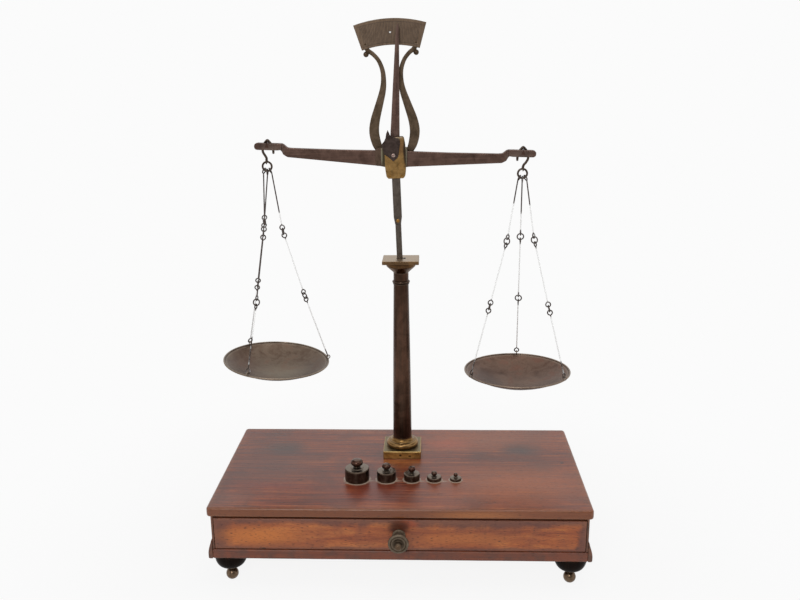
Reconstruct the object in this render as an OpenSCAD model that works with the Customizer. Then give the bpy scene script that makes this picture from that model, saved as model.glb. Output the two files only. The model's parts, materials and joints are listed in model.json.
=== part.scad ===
/* [Top board] */
// Width of the top board
board_w = 400.4; // [370:0.2:440]
// Depth of the top board, front to back
board_d = 205; // [195:1:240]
// Thickness of the top board
board_t = 10.4; // [8:0.2:14]
// Radius along the top board's edges
board_edge_r = 2.4; // [1:0.1:3.4]
// Radius of the top board's upright corners
board_corner_r = 4; // [2:0.5:10]

/* [Case] */
// How far the top board stands out past the case sides
side_overhang = 4; // [2:0.5:7]
// How far the top board stands out past the drawer front
front_overhang = 2; // [1:0.5:6]
// How far the top board stands out past the case back
back_overhang = 4; // [2:0.5:8]
// Thickness of the case sides
side_t = 9; // [7:0.5:12]
// Thickness of the outer lip that hides the drawer front's end
side_lip = 2.2; // [1.6:0.1:3]
// Thickness of the case back
back_t = 8; // [6:0.5:12]
// Thickness of the case bottom
bottom_t = 6; // [4:0.5:8]
// Height of the drawer front's opening
drawer_opening_h = 38; // [34:0.5:46]
// Height of the front rail under the drawer
rail_h = 10.6; // [9:0.2:14]
// How far the front rail stands out past the drawer front
rail_proud = 1.5; // [0.5:0.1:1.8]
// Height of the moulding along each side
moulding_h = 21.5; // [16:0.5:28]
// How far the side moulding swells past the case side
moulding_swell = 4.5; // [3:0.1:6]
// Thickness of the side moulding at its upper edge
moulding_edge = 0.8; // [0.6:0.1:1.4]

/* [Feet] */
// Diameter of the bun of each foot
bun_d = 34.8; // [26:0.2:36]
// Height of the bun of each foot
bun_h = 16.4; // [14:0.1:26]
// Diameter of the ball under each bun
ball_d = 13.3; // [10:0.1:16]
// Diameter of the collar between ball and bun
foot_collar_d = 11.6; // [9:0.2:13]
// Diameter of the flat worn on each ball
foot_flat_d = 4.4; // [3:0.2:6]
// Distance of the feet's centres from the base's ends
foot_inset_x = 19.7; // [18:0.1:28]
// Distance of the feet's centres from the board's front and back
foot_inset_y = 18; // [18:0.1:28]

/* [Drawer] */
// Thickness of the drawer front
drawer_front_t = 10; // [8:0.5:13]
// Height of the drawer sides
drawer_side_h = 31; // [24:0.5:32]
// Thickness of the drawer sides and back
drawer_side_t = 6; // [4:0.5:8]
// Thickness of the drawer bottom
drawer_bottom_t = 3; // [2:0.5:4]
// Gap behind the drawer when it is shut
drawer_back_gap = 13; // [3:1:40]
// Gap above the drawer front
drawer_top_gap = 2.4; // [0.8:0.1:3]
// Gap at the drawer front's ends and at the drawer sides
drawer_side_gap = 0.4; // [0.3:0.1:1]
// Gap under the drawer
drawer_low_gap = 0.3; // [0.2:0.1:0.6]
// Width of each drawer runner
runner_w = 12; // [9:0.5:18]

/* [Drawer knob] */
// Diameter of the knob's head
knob_d = 21.5; // [16:0.5:26]
// Distance that the knob reaches in front of the drawer
knob_reach = 26; // [20:0.5:30]
// Diameter of the knob's rose
knob_rose_d = 14; // [11:0.5:15]
// Diameter of the knob's neck
knob_neck_d = 9; // [7.5:0.5:10.5]
// Diameter of the knob's screw
knob_screw_d = 4; // [3:0.5:5]

/* [Column] */
// Distance of the column behind the middle of the board
column_y = 38; // [10:1:60]
// Width of the square plinth
plinth_w = 43.6; // [39:0.2:50]
// Height of the square plinth
plinth_h = 9.1; // [6:0.1:12]
// Diameter of the rounded base ring
base_ring_d = 37.2; // [33:0.2:38.6]
// Height of the rounded base ring, with its hollow
base_ring_h = 11; // [9:0.5:14]
// Diameter of the shaft at its foot
shaft_foot_d = 21.6; // [19.6:0.2:25]
// Diameter of the shaft under its capital
shaft_head_d = 16.9; // [16.5:0.1:19]
// Height of the shaft between base ring and astragal
shaft_h = 184.4; // [120:1:260]
// Diameter of the astragal's bead
astragal_d = 19.9; // [19.5:0.1:24]
// Height of the astragal's bead
astragal_h = 4.2; // [3:0.1:6]
// Height of the necking above the astragal
necking_h = 9; // [6:0.5:14]
// Height of the bell of the capital
bell_h = 12; // [9:0.1:18]
// Width of the square abacus
abacus_w = 40.6; // [34.5:0.1:46]
// Depth of the square abacus, front to back
abacus_depth = 35.2; // [34.5:0.1:46]
// Thickness of the square abacus
abacus_t = 4; // [2.4:0.1:6]
// Diameter of the bore in the shaft
shaft_bore_d = 13.2; // [12.8:0.1:14]
// Diameter of the small hole beside the rod in the abacus
cap_hole_d = 2.6; // [1.5:0.1:3.4]
// Diameter of the bolt that holds the column to the board
column_bolt_d = 8; // [6:0.5:10]
// Width across the flats of the nut under the board
nut_w = 14; // [13:0.5:20]

/* [Lifting mast] */
// Lean of the mast to the left, in degrees
mast_lean = 1.95; // [0:0.05:2.2]
// Distance of the mast left of the column's axis, at the abacus
mast_offset = 1.2; // [0.8:0.1:1.5]
// Width of the lower rod
rod_w = 6.4; // [5:0.1:6.5]
// Thickness of the lower rod and of the upper bar
rod_t = 3.2; // [2.4:0.1:3.4]
// Length of the lower rod inside the column
rod_inside = 62; // [45:1:80]
// Height of the upper bar's lower end over the abacus
bar_foot_h = 39; // [37:0.5:45]
// Width of the upper bar
bar_w = 9.05; // [7.6:0.05:10]
// Height of the tapered end of the upper bar
bar_taper_h = 8; // [5:0.5:12]
// Height over which rod and bar lie on each other
lap_h = 24; // [18:1:32]
// Diameter of the rivet that joins rod and bar
lap_rivet_d = 3; // [2:0.1:3.6]

/* [Yoke] */
// Height of the centre knife edge over the abacus, along the mast
pivot_h = 124.6; // [112:0.2:150]
// Half the clear width between the cheeks
cheek_gap = 5.2; // [4.8:0.1:6]
// Thickness of each cheek
cheek_t = 2.2; // [1.6:0.1:3]
// Half the width of each cheek
cheek_half = 11.2; // [10.4:0.1:13]
// Depth of the cheeks below the knife edge
cheek_low = 35; // [34.6:0.1:42]
// Height of the cheeks above the knife edge
cheek_high = 9; // [8:0.1:12]
// Height of the block between the cheeks
block_h = 6; // [5:0.1:6.4]
// Half the width of the block between the cheeks
block_half = 8.4; // [8:0.1:9]
// Diameter of the yoke's rivets
yoke_rivet_d = 2; // [1.4:0.1:2.4]
// Thickness of the keeper plate
keeper_t = 1.4; // [1:0.1:2]
// Diameter of the keeper plate's pin
keeper_pin_d = 2.4; // [1.6:0.1:3]

/* [Lyre] */
// Thickness of the lyre frame
lyre_t = 2.6; // [2:0.1:4]
// Thickness of the indicator plate
plate_t = 1.6; // [1:0.1:1.8]
// Radius of the indicator plate's outer edge
plate_outer_r = 130.9; // [128:0.1:134]
// Radius of the indicator plate's inner edge
plate_inner_r = 104; // [102:0.1:106]
// Half the angle that the indicator plate spans
plate_half_angle = 17.1; // [16.6:0.1:22]
// Half the width of the lyre at its belly, at the middle of its bars
lyre_belly = 22; // [20:0.1:25]
// Half the width of the lyre at its waist, at the middle of its bars
lyre_waist = 9.3; // [8.5:0.1:12]
// Width of the lyre's bars at its belly
lyre_bar_w = 10.7; // [8:0.1:12]
// Width of the lyre's bars under the indicator plate
lyre_neck_w = 4.4; // [3:0.1:5.5]
// Diameter of the finial balls
finial_d = 5.8; // [4.5:0.1:7]

/* [Beam] */
// Tilt of the beam, right end down, in degrees
beam_tilt = 1.9; // [0:0.1:4]
// Distance from the centre knife edge to each end knife edge
arm = 138; // [130:0.5:160]
// Thickness of the beam, front to back
beam_t = 6; // [5:0.1:6.4]
// Depth of the beam's top edge below the knife edges
beam_top = 5.8; // [5.6:0.1:7.5]
// Depth of the beam's lower edge below the knife edges, at the middle
beam_belly = 22.4; // [20:0.1:23]
// Depth of the beam's lower edge below the knife edges, at the cranks
beam_root = 15.7; // [14:0.1:18]
// Length of each slotted end bar
end_bar_l = 31; // [29:0.5:36]
// Width of each slotted end bar, front to back
end_bar_w = 9.6; // [8.6:0.1:12]
// Height of each slotted end bar
end_bar_h = 7.3; // [6.8:0.1:8.5]
// Depth of each end bar's top below its knife edge
end_bar_drop = 1.3; // [0.8:0.1:2]
// Length of the slot in each end bar
slot_l = 23; // [22.4:0.1:24.4]
// Width of the slot in each end bar
slot_w = 3.9; // [3.5:0.1:4.6]
// Thickness of each saddle plate
saddle_t = 1.8; // [1.2:0.1:1.8]
// Reach of the saddle plates to the left
saddle_left = 20.5; // [14:0.5:24]
// Reach of the saddle plates to the right
saddle_right = 13.7; // [12:0.5:24]
// Height of each knife
knife_h = 4.8; // [4:0.1:5]
// Half the width of each knife at its back
knife_half = 2.4; // [1.6:0.1:2.6]
// Length of the pointer above the centre knife edge
pointer_l = 125.3; // [112:0.1:127]
// Width of the pointer at its foot
pointer_w = 10.2; // [7:0.1:11]
// Thickness of the pointer
pointer_t = 2.4; // [1.6:0.1:3]

/* [Hooks] */
// Thickness of the hooks' wire
hook_wire = 2.7; // [2.2:0.1:2.8]
// Distance from each end knife edge down to the hook's ring
hook_drop = 26.5; // [25:0.1:30]
// Radius of the hook's ring, at the middle of its wire
hook_ring_r = 5; // [4.6:0.1:6]
// Thickness of the hook ring's wire
hook_ring_wire = 2.2; // [1.8:0.1:2.4]
// Distance of the left hook's ring outside its knife edge
left_ring_lean = 1.6; // [0:0.1:2]

/* [Pans] */
// Radius of each pan's rim
pan_r = 60.6; // [50:0.2:68]
// Depth of each pan
pan_depth = 17.5; // [14:0.5:22]
// Thickness of each pan's sheet
pan_t = 0.9; // [0.7:0.1:1.4]
// Diameter of each pan's rolled rim
rim_bead_d = 1.9; // [1.6:0.1:2.6]
// Distance from the left end knife edge down to the left pan's rim
left_hang = 248.5; // [200:0.2:300]
// Distance from the right end knife edge down to the right pan's rim
right_hang = 251.1; // [200:0.2:300]
// Tilt of the left pan towards the front, in degrees
left_pan_tilt = 1.6; // [0:0.1:3]
// Tilt of the left pan to the right, in degrees
left_pan_roll = 4.1; // [-6:0.1:6]
// Tilt of the right pan towards the front, in degrees
right_pan_tilt = -0.6; // [-2:0.1:2]
// Directions of the left pan's legs from straight right, in degrees
left_leg_turns = [15, 132, 248]; // [-60:1:300]
// Directions of the right pan's legs from straight right, in degrees
right_leg_turns = [-35, 85, 205]; // [-60:1:300]
// Inward bow of the left pan's legs at their joints
left_bow = 4.6; // [0:0.1:6]
// Inward bow of the right pan's legs at their joints
right_bow = 1.4; // [0:0.1:6]
// Diameter of the legs' wire
leg_wire = 1.5; // [0.8:0.1:1.6]
// Radius of the legs' eyes, at the middle of their wire
eye_r = 2.6; // [1.9:0.1:2.8]
// Radius of the rings that join the legs' links, at the middle of their wire
joint_ring_r = 3.6; // [2:0.1:3.8]
// Radius of the legs' top eyes, at the middle of their wire
top_eye_r = 2.9; // [2.8:0.1:3]
// Distance between the legs' top eyes along the hook's ring
top_eye_step = 3.1; // [2.9:0.05:3.4]

/* [Weights] */
// Diameters of the five weights' bodies
weight_d = [26.8, 21.2, 17.6, 16.1, 12.9]; // [8:0.1:32]
// Heights of the weights' bodies
weight_h = [13.6, 10.6, 7.6, 3.8, 2.6]; // [1.5:0.1:20]
// Diameters of the weights' knobs
weight_knob_d = [13.4, 9.7, 7.9, 6.3, 4.6]; // [3:0.1:16]
// Heights of the weights' knobs
weight_knob_h = [7.2, 5.8, 6, 4.8, 4.2]; // [2:0.1:12]
// Places of the weights to the right of the board's middle
weight_x = [-48, -15.6, 12.4, 37, 60.6]; // [-120:0.1:120]
// Distance of the row of weights in front of the board's middle
weight_row_y = 34.5; // [20:0.5:60]

/* [Hidden] */
$fn = 64;
run_gap = 0.05;
seat_gap = 0.3;
foot_pin_d = 5;
foot_pin_l = 9;
foot_collar_h = 4.6;
foot_h = ball_d + foot_collar_h - 0.4 + bun_h;
base_z = foot_h;
rail_z = base_z + rail_h;
case_top_z = rail_z + drawer_opening_h;
board_top_z = case_top_z + board_t;
case_half_w = board_w / 2 - side_overhang;
drawer_face_y = -board_d / 2 + front_overhang;
drawer_seat_y = drawer_face_y + drawer_front_t;
case_back_y = board_d / 2 - back_overhang;
rail_y = drawer_face_y - rail_proud;
inner_half_w = case_half_w - side_t;
lip_x = case_half_w - side_lip;
bottom_top_z = base_z + bottom_t;
drawer_low_z = rail_z + drawer_low_gap;
drawer_half_w = inner_half_w - drawer_side_gap;
drawer_top_z = drawer_low_z + drawer_side_h;
drawer_back_y = case_back_y - back_t - drawer_back_gap;
front_half_w = lip_x - drawer_side_gap;
front_low_z = rail_z + drawer_low_gap;
front_top_z = case_top_z - drawer_top_gap;
knob_z = (front_low_z + front_top_z) / 2;
knob_screw_in = knob_reach * 0.5;
knob_button_d = 7.4;
foot_x = case_half_w + moulding_swell - foot_inset_x;
foot_y = board_d / 2 - foot_inset_y;

plinth_top_z = board_top_z + plinth_h;
shaft_foot_z = plinth_top_z + base_ring_h;
astragal_z = shaft_foot_z + shaft_h;
necking_z = astragal_z + astragal_h;
bell_z = necking_z + necking_h;
abacus_z = bell_z + bell_h;
cap_z = abacus_z + abacus_t;
bore_spare = 24;
shaft_bore_low_z = cap_z - rod_inside - bar_foot_h - bore_spare;
slot_gap = 0.15;
cap_hole_at = [rod_w / 2 - mast_offset + cap_hole_d / 2 + 0.8, -0.9];

block_top = -cheek_low + block_h;
block_rivet_at = [block_half - 2.2, block_top - block_h / 2];
lyre_rivet_at = [cheek_half * 0.54, -cheek_low * 0.4];
plate_rivet_at = (plate_inner_r + 5) * [sin(14.2), cos(14.2)];
keeper_pin_at = [-1.75, -10.1];
head_d = 1.6;
head_h = 0.8;
rod_front = -rod_t / 2;
saddle_y = beam_t / 2 + saddle_t;
keeper_back = -cheek_gap - cheek_t;
lyre_y = cheek_gap + cheek_t;
lyre_low = -cheek_low * 0.63;
hub_half = 8;
hub_top = 7.2;
saddle_rivet_d = 1.8;
saddle_rivets = [[-saddle_left + 5, -beam_belly + 8], [saddle_right - 4, -beam_belly + 8]];
end_knife_h = end_bar_drop + end_bar_h * 0.64;
pivot = [-mast_offset - pivot_h * sin(mast_lean), column_y, cap_z + pivot_h * cos(mast_lean)];
left_point = pivot + [-arm * cos(beam_tilt), 0, arm * sin(beam_tilt)];
right_point = pivot + [arm * cos(beam_tilt), 0, -arm * sin(beam_tilt)];
ring_low = hook_drop + hook_ring_r;

sphere_r = (pan_r * pan_r + pan_depth * pan_depth) / (2 * pan_depth);
eyelet_r = 2.1;
eyelet_wire = 1.1;
eyelet_height = 1.9;
left_lie = [left_pan_tilt, left_pan_roll];
right_lie = [right_pan_tilt, 0];
left_splits = [[0.31, 0.654], [0.272, 0.632], [0.306, 0.648]];
right_splits = [[0.306, 0.648], [0.306, 0.66], [0.314, 0.645]];
left_faces = [[0, 45], [30, 10], [10, 75]];
right_faces = [[60, 0], [90, 80], [50, 0]];
slack = 0.12;
eye_drop = top_eye_r - (leg_wire + hook_ring_wire) / 2 - slack;
outer_eye_rise = 0.25;
top_eye_turn = 20;
top_eye_lean = 25;
wire_draw = 0.08;

half_base = case_half_w + moulding_swell;
left_reach = min(-half_base, -board_w / 2, left_point[0] - left_ring_lean - pan_r - rim_bead_d / 2);
right_reach = max(half_base, board_w / 2, right_point[0] + pan_r + rim_bead_d / 2);
front_reach = min(drawer_face_y - knob_reach, -board_d / 2);
shift = [-(left_reach + right_reach) / 2, -(front_reach + board_d / 2) / 2, 0];

mahogany = [0.46, 0.27, 0.2];
drawer_wood = [0.62, 0.38, 0.22];
oak = [0.66, 0.52, 0.36];
ebonised = [0.12, 0.1, 0.09];
brass = [0.62, 0.48, 0.26];
old_brass = [0.42, 0.36, 0.28];
bronze = [0.27, 0.2, 0.16];
iron = [0.25, 0.22, 0.2];
red_steel = [0.36, 0.27, 0.24];
wire_steel = [0.6, 0.58, 0.55];

// Points along an arc of a circle
function arc(cx, cy, r, a0, a1, n) =
    [for (i = [0:n]) let (a = a0 + (a1 - a0) * i / n) [cx + r * cos(a), cy + r * sin(a)]];

// Smooth run through a list of points, n steps between neighbours
function smooth(p, n) = concat(
    [for (i = [0:len(p) - 2], k = [0:n - 1])
        let (t = k / n, a = p[max(i - 1, 0)], b = p[i], c = p[i + 1], d = p[min(i + 2, len(p) - 1)])
        0.5 * (2 * b + (c - a) * t + (2 * a - 5 * b + 4 * c - d) * t * t
            + (3 * b - a - 3 * c + d) * t * t * t)],
    [p[len(p) - 1]]);

// Outline of a band whose points are [x, y, width]
function band(q) = let (
    n = len(q) - 1,
    tangent = [for (i = [0:n]) let (d = q[min(i + 1, n)] - q[max(i - 1, 0)]) [d[0], d[1]] / norm([d[0], d[1]])]
) concat(
    [for (i = [0:n]) [q[i][0] - tangent[i][1] * q[i][2] / 2, q[i][1] + tangent[i][0] * q[i][2] / 2]],
    [for (i = [n:-1:0]) [q[i][0] + tangent[i][1] * q[i][2] / 2, q[i][1] - tangent[i][0] * q[i][2] / 2]]);

function flip(points) = [for (i = [len(points) - 1:-1:0]) [-points[i][0], points[i][1]]];
function unit(v) = v / norm(v);
// Direction square to v that faces the front, then turned about v
function front(v) = unit([0, 1, 0] - v * v[1]);
function facing(v, turn) = front(v) * cos(turn) + cross(v, front(v)) * sin(turn);

// Rectangle from [x0, y0] to [x1, y1] with one radius on its lower and one on its upper corners
function soft_box(x0, x1, y0, y1, low_r, high_r) = concat(
    arc(x0 + low_r, y0 + low_r, low_r, 180, 270, 6), arc(x1 - low_r, y0 + low_r, low_r, 270, 360, 6),
    arc(x1 - high_r, y1 - high_r, high_r, 0, 90, 6), arc(x0 + high_r, y1 - high_r, high_r, 90, 180, 6));

module block(x0, x1, y0, y1, z0, z1) {
    translate([x0, y0, z0]) cube([x1 - x0, y1 - y0, z1 - z0]);
}

// Flat piece drawn in X and Z, between two places in Y
module slab(y0, y1) {
    translate([0, y1, 0]) rotate([90, 0, 0]) linear_extrude(y1 - y0) children();
}

// Rod along Y
module rod_y(x, z, d, y0, y1) {
    translate([x, y1, z]) rotate([90, 0, 0]) cylinder(d = d, h = y1 - y0);
}

// Round rod between two points
module rod_between(a, b, d) {
    v = b - a;
    translate(a) rotate([0, acos(v[2] / norm(v)), atan2(v[1], v[0])]) cylinder(d = d, h = norm(v), $fn = 24);
}

// Ring of wire about a centre, square to a direction, with its joint turned away from the rods
module ring(c, dir, r, wire, sides = 16) {
    translate(c) rotate([0, acos(dir[2] / norm(dir)), atan2(dir[1], dir[0])]) rotate(50)
        rotate_extrude($fn = 40) translate([r, 0]) circle(d = wire, $fn = sides);
}

module placed() { translate(shift) children(); }
module at_column() { placed() translate([0, column_y, 0]) children(); }
module in_mast() {
    placed() translate([-mast_offset, column_y, cap_z]) rotate([0, -mast_lean, 0]) children();
}
module at_yoke() { in_mast() translate([0, 0, pivot_h]) children(); }
module in_beam() { placed() translate(pivot) rotate([0, beam_tilt, 0]) children(); }

// Case
module top_board() {
    half_w = board_w / 2;
    half_d = board_d / 2;
    color(mahogany) placed() difference() {
        intersection() {
            slab(-half_d, half_d) polygon(soft_box(-half_w, half_w, case_top_z, board_top_z,
                board_edge_r * 0.6, board_edge_r));
            translate([-half_w, 0, 0]) rotate([90, 0, 90]) linear_extrude(board_w)
                polygon(soft_box(-half_d, half_d, case_top_z, board_top_z, board_edge_r * 0.6, board_edge_r));
            translate([0, 0, case_top_z]) linear_extrude(board_t)
                polygon(soft_box(-half_w, half_w, -half_d, half_d, board_corner_r, board_corner_r));
        }
        translate([0, column_y, case_top_z - 1]) cylinder(d = column_bolt_d + 2 * run_gap, h = board_t + 2);
    }
}

module case_side() {
    difference() {
        block(inner_half_w, case_half_w, drawer_face_y, case_back_y, base_z, case_top_z);
        block(inner_half_w - 1, lip_x, drawer_face_y - 1, drawer_seat_y, rail_z, case_top_z + 1);
        block(inner_half_w - 1, case_half_w + 1, drawer_face_y - 1, drawer_seat_y, base_z - 1, rail_z);
    }
}
module case_left_side() { color(mahogany) placed() mirror([1, 0, 0]) case_side(); }
module case_right_side() { color(mahogany) placed() case_side(); }

module case_back() {
    color(mahogany) placed()
        block(-inner_half_w, inner_half_w, case_back_y - back_t, case_back_y, bottom_top_z, case_top_z);
}

module case_bottom() {
    color(oak) placed()
        block(-inner_half_w, inner_half_w, drawer_seat_y, case_back_y, base_z, bottom_top_z);
}

module front_rail() {
    color(mahogany) placed() translate([-case_half_w, 0, 0]) rotate([90, 0, 90])
        linear_extrude(2 * case_half_w) polygon(concat(
            [[drawer_seat_y, base_z], [drawer_seat_y, rail_z]],
            arc(rail_y + 1.2, rail_z - 1.2, 1.2, 90, 180, 5),
            arc(rail_y + 1.8, base_z + 1.8, 1.8, 180, 270, 5)));
}

module side_moulding() {
    swell_z = base_z + moulding_h * 0.23;
    rise = moulding_h * 0.77;
    translate([0, board_d / 2 - back_overhang / 2, 0]) rotate([90, 0, 0])
        linear_extrude(board_d / 2 - back_overhang / 2 - rail_y) polygon(concat(
            [[case_half_w, base_z]],
            arc(case_half_w + moulding_swell - 1.8, base_z + 1.8, 1.8, 270, 350, 5),
            [for (i = [0:10]) let (f = 1 - i / 10)
                [case_half_w + moulding_edge + (moulding_swell - moulding_edge) * pow(sin(90 * f), 1.3),
                swell_z + rise * (1 - f)]],
            [[case_half_w, base_z + moulding_h]]));
}
module left_moulding() { color(mahogany) placed() mirror([1, 0, 0]) side_moulding(); }
module right_moulding() { color(mahogany) placed() side_moulding(); }

module drawer_runners() {
    color(oak) placed() for (s = [-1, 1])
        translate([s * (inner_half_w - runner_w / 2) - runner_w / 2, 0, 0])
            block(0, runner_w, drawer_seat_y, case_back_y - back_t, bottom_top_z, rail_z);
}

module at_feet() {
    placed() for (x = [-foot_x, foot_x], y = [-foot_y, foot_y]) translate([x, y, 0]) children();
}
module foot_buns() {
    low_z = foot_h - bun_h;
    color(ebonised) at_feet() difference() {
        rotate_extrude() polygon(concat([[0, low_z], [bun_d * 0.28, low_z]],
            [for (i = [1:8]) let (a = 90 * i / 8)
                [bun_d * 0.28 + bun_d * 0.22 * sin(a), low_z + (bun_h - 3) * (1 - cos(a))]],
            [[bun_d / 2, foot_h - 1], [bun_d / 2 - 0.8, foot_h], [0, foot_h]]));
        translate([0, 0, low_z - 1]) cylinder(d = foot_pin_d + 2 * run_gap, h = foot_pin_l + 2);
    }
}
module foot_balls() {
    flat_z = ball_d / 2 - sqrt(pow(ball_d / 2, 2) - pow(foot_flat_d / 2, 2));
    low_z = foot_h - bun_h;
    color(brass) at_feet() {
        difference() {
            translate([0, 0, ball_d / 2 - flat_z]) sphere(d = ball_d);
            translate([-ball_d, -ball_d, -ball_d]) cube([2 * ball_d, 2 * ball_d, ball_d]);
        }
        translate([0, 0, ball_d / 2]) cylinder(d = foot_collar_d * 0.62, h = low_z - ball_d / 2);
        translate([0, 0, low_z - foot_collar_h]) cylinder(d = foot_collar_d, h = foot_collar_h);
        translate([0, 0, low_z - 1]) cylinder(d = foot_pin_d, h = foot_pin_l + 1);
    }
}

// Drawer
module drawer_front() {
    color(drawer_wood) placed() difference() {
        translate([-front_half_w, 0, 0]) rotate([90, 0, 90]) linear_extrude(2 * front_half_w) polygon(concat(
            [[drawer_seat_y, front_low_z], [drawer_seat_y, front_top_z]],
            arc(drawer_face_y + 0.8, front_top_z - 0.8, 0.8, 90, 180, 3),
            arc(drawer_face_y + 0.8, front_low_z + 0.8, 0.8, 180, 270, 3)));
        rod_y(0, knob_z, knob_screw_d + 2 * run_gap, drawer_face_y - 1, drawer_seat_y + 1);
    }
}
module drawer_side() {
    block(drawer_half_w - drawer_side_t, drawer_half_w, drawer_seat_y, drawer_back_y,
        drawer_low_z, drawer_top_z);
}
module drawer_left_side() { color(oak) placed() mirror([1, 0, 0]) drawer_side(); }
module drawer_right_side() { color(oak) placed() drawer_side(); }
module drawer_back() {
    color(oak) placed() block(drawer_side_t - drawer_half_w, drawer_half_w - drawer_side_t,
        drawer_back_y - drawer_side_t, drawer_back_y, drawer_low_z + drawer_bottom_t, drawer_top_z - 2);
}
module drawer_bottom() {
    color(oak) placed() block(drawer_side_t - drawer_half_w, drawer_half_w - drawer_side_t,
        drawer_seat_y, drawer_back_y, drawer_low_z, drawer_low_z + drawer_bottom_t);
}

module drawer_knob() {
    r = knob_d / 2;
    button_r = knob_button_d / 2;
    head_low = knob_reach * 0.56;
    head_top = head_low + 4;
    color(bronze) placed() translate([0, drawer_face_y, knob_z]) rotate([90, 0, 0]) difference() {
        rotate_extrude() polygon(concat([[0, 0], [knob_rose_d / 2, 0]],
            arc(knob_rose_d / 2 - 1.2, 1.2, 1.2, 0, 90, 4),
            [[knob_neck_d / 2 + 0.8, 3.2], [knob_neck_d / 2, 4.6], [knob_neck_d / 2, head_low - 2]],
            arc(r - 2, head_low + 2, 2, -90, 90, 8),
            [[r * 0.66, head_top - 0.8], [button_r + 1.6, head_top - 0.6], [button_r, head_top + 0.6]],
            arc(0, knob_reach - button_r, button_r, 0, 90, 6)));
        translate([0, 0, -1]) cylinder(d = knob_screw_d + 2 * run_gap, h = knob_screw_in + 1.5);
    }
}
module knob_screw() {
    color(brass) placed() {
        rod_y(0, knob_z, knob_screw_d, drawer_face_y - knob_screw_in, drawer_seat_y + 0.5);
        rod_y(0, knob_z, knob_screw_d * 2, drawer_seat_y, drawer_seat_y + 2);
    }
}

// Column
module column_plinth() {
    color(brass) at_column() difference() {
        translate([-plinth_w / 2, -plinth_w / 2, board_top_z]) cube([plinth_w, plinth_w, plinth_h]);
        translate([0, 0, board_top_z - 1]) cylinder(d = column_bolt_d + 2 * run_gap, h = plinth_h + 2);
    }
}

module column_base_ring() {
    r = base_ring_d / 2;
    bead = base_ring_h * 0.3;
    hollow = base_ring_h - 2 * bead;
    lip = shaft_foot_d / 2 + 0.6;
    color(brass) at_column() translate([0, 0, plinth_top_z]) difference() {
        rotate_extrude() polygon(concat([[0, 0], [r - bead, 0]],
            arc(r - bead, bead, bead, -90, 90, 10),
            [for (i = [1:6]) let (a = 90 * i / 6)
                [r - bead - (r - bead - lip) * sin(a), 2 * bead + hollow * (1 - cos(a))]],
            [[0, base_ring_h]]));
        translate([0, 0, -1]) cylinder(d = column_bolt_d + 2 * run_gap, h = base_ring_h + 2);
    }
}

module column_shaft() {
    head_r = shaft_head_d / 2;
    bead_r = astragal_h * 0.34;
    fillet_h = astragal_h - 2 * bead_r;
    color(bronze) at_column() difference() {
        rotate_extrude() polygon(concat(
            [[0, shaft_foot_z], [shaft_foot_d / 2, shaft_foot_z], [head_r, astragal_z],
            [head_r + 0.7, astragal_z], [head_r + 0.7, astragal_z + fillet_h]],
            arc(astragal_d / 2 - bead_r, necking_z - bead_r, bead_r, -90, 90, 8),
            [[head_r, necking_z], [head_r, bell_z], [0, bell_z]]));
        translate([0, 0, shaft_bore_low_z]) cylinder(d = shaft_bore_d, h = bell_z - shaft_bore_low_z + 1);
        translate([0, 0, shaft_foot_z - 1]) cylinder(d = column_bolt_d + 2 * run_gap, h = 22);
    }
}

module column_capital() {
    bell_r = min(abacus_w, abacus_depth) / 2 - 1;
    neck_r = shaft_head_d / 2;
    flare = smooth([[neck_r, 0, 0], [neck_r + 1, 1.3, 0], [bell_r - 1.1, bell_h * 0.57, 0],
        [bell_r - 0.2, bell_h * 0.7, 0], [bell_r, bell_h * 0.84, 0]], 3);
    color(bronze) at_column() difference() {
        union() {
            rotate_extrude() polygon(concat([[0, bell_z]],
                [for (p = flare) [p[0], bell_z + p[1]]], [[bell_r, abacus_z], [0, abacus_z]]));
            translate([-abacus_w / 2, -abacus_depth / 2, abacus_z]) cube([abacus_w, abacus_depth, abacus_t]);
        }
        translate([0, 0, bell_z - 1]) cylinder(d = shaft_bore_d, h = bell_h + 1);
        translate([-mast_offset, 0, cap_z]) rotate([0, -mast_lean, 0])
            block(-rod_w / 2 - slot_gap, rod_w / 2 + slot_gap, -rod_t / 2 - slot_gap, rod_t / 2 + slot_gap,
                -abacus_t - 2, 2);
        translate([cap_hole_at[0], cap_hole_at[1], abacus_z - 1]) cylinder(d = cap_hole_d, h = abacus_t + 2);
    }
}

module column_bolt() {
    color(iron) at_column() translate([0, 0, case_top_z - 2.6])
        cylinder(d = column_bolt_d, h = shaft_foot_z + 20 - case_top_z + 2.6);
}
module column_nut() {
    color(iron) at_column() translate([0, 0, case_top_z - 2.4]) difference() {
        cylinder(d = nut_w / cos(30), h = 2.4, $fn = 6);
        translate([0, 0, -1]) cylinder(d = column_bolt_d + 2 * run_gap, h = 5);
    }
}

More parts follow.
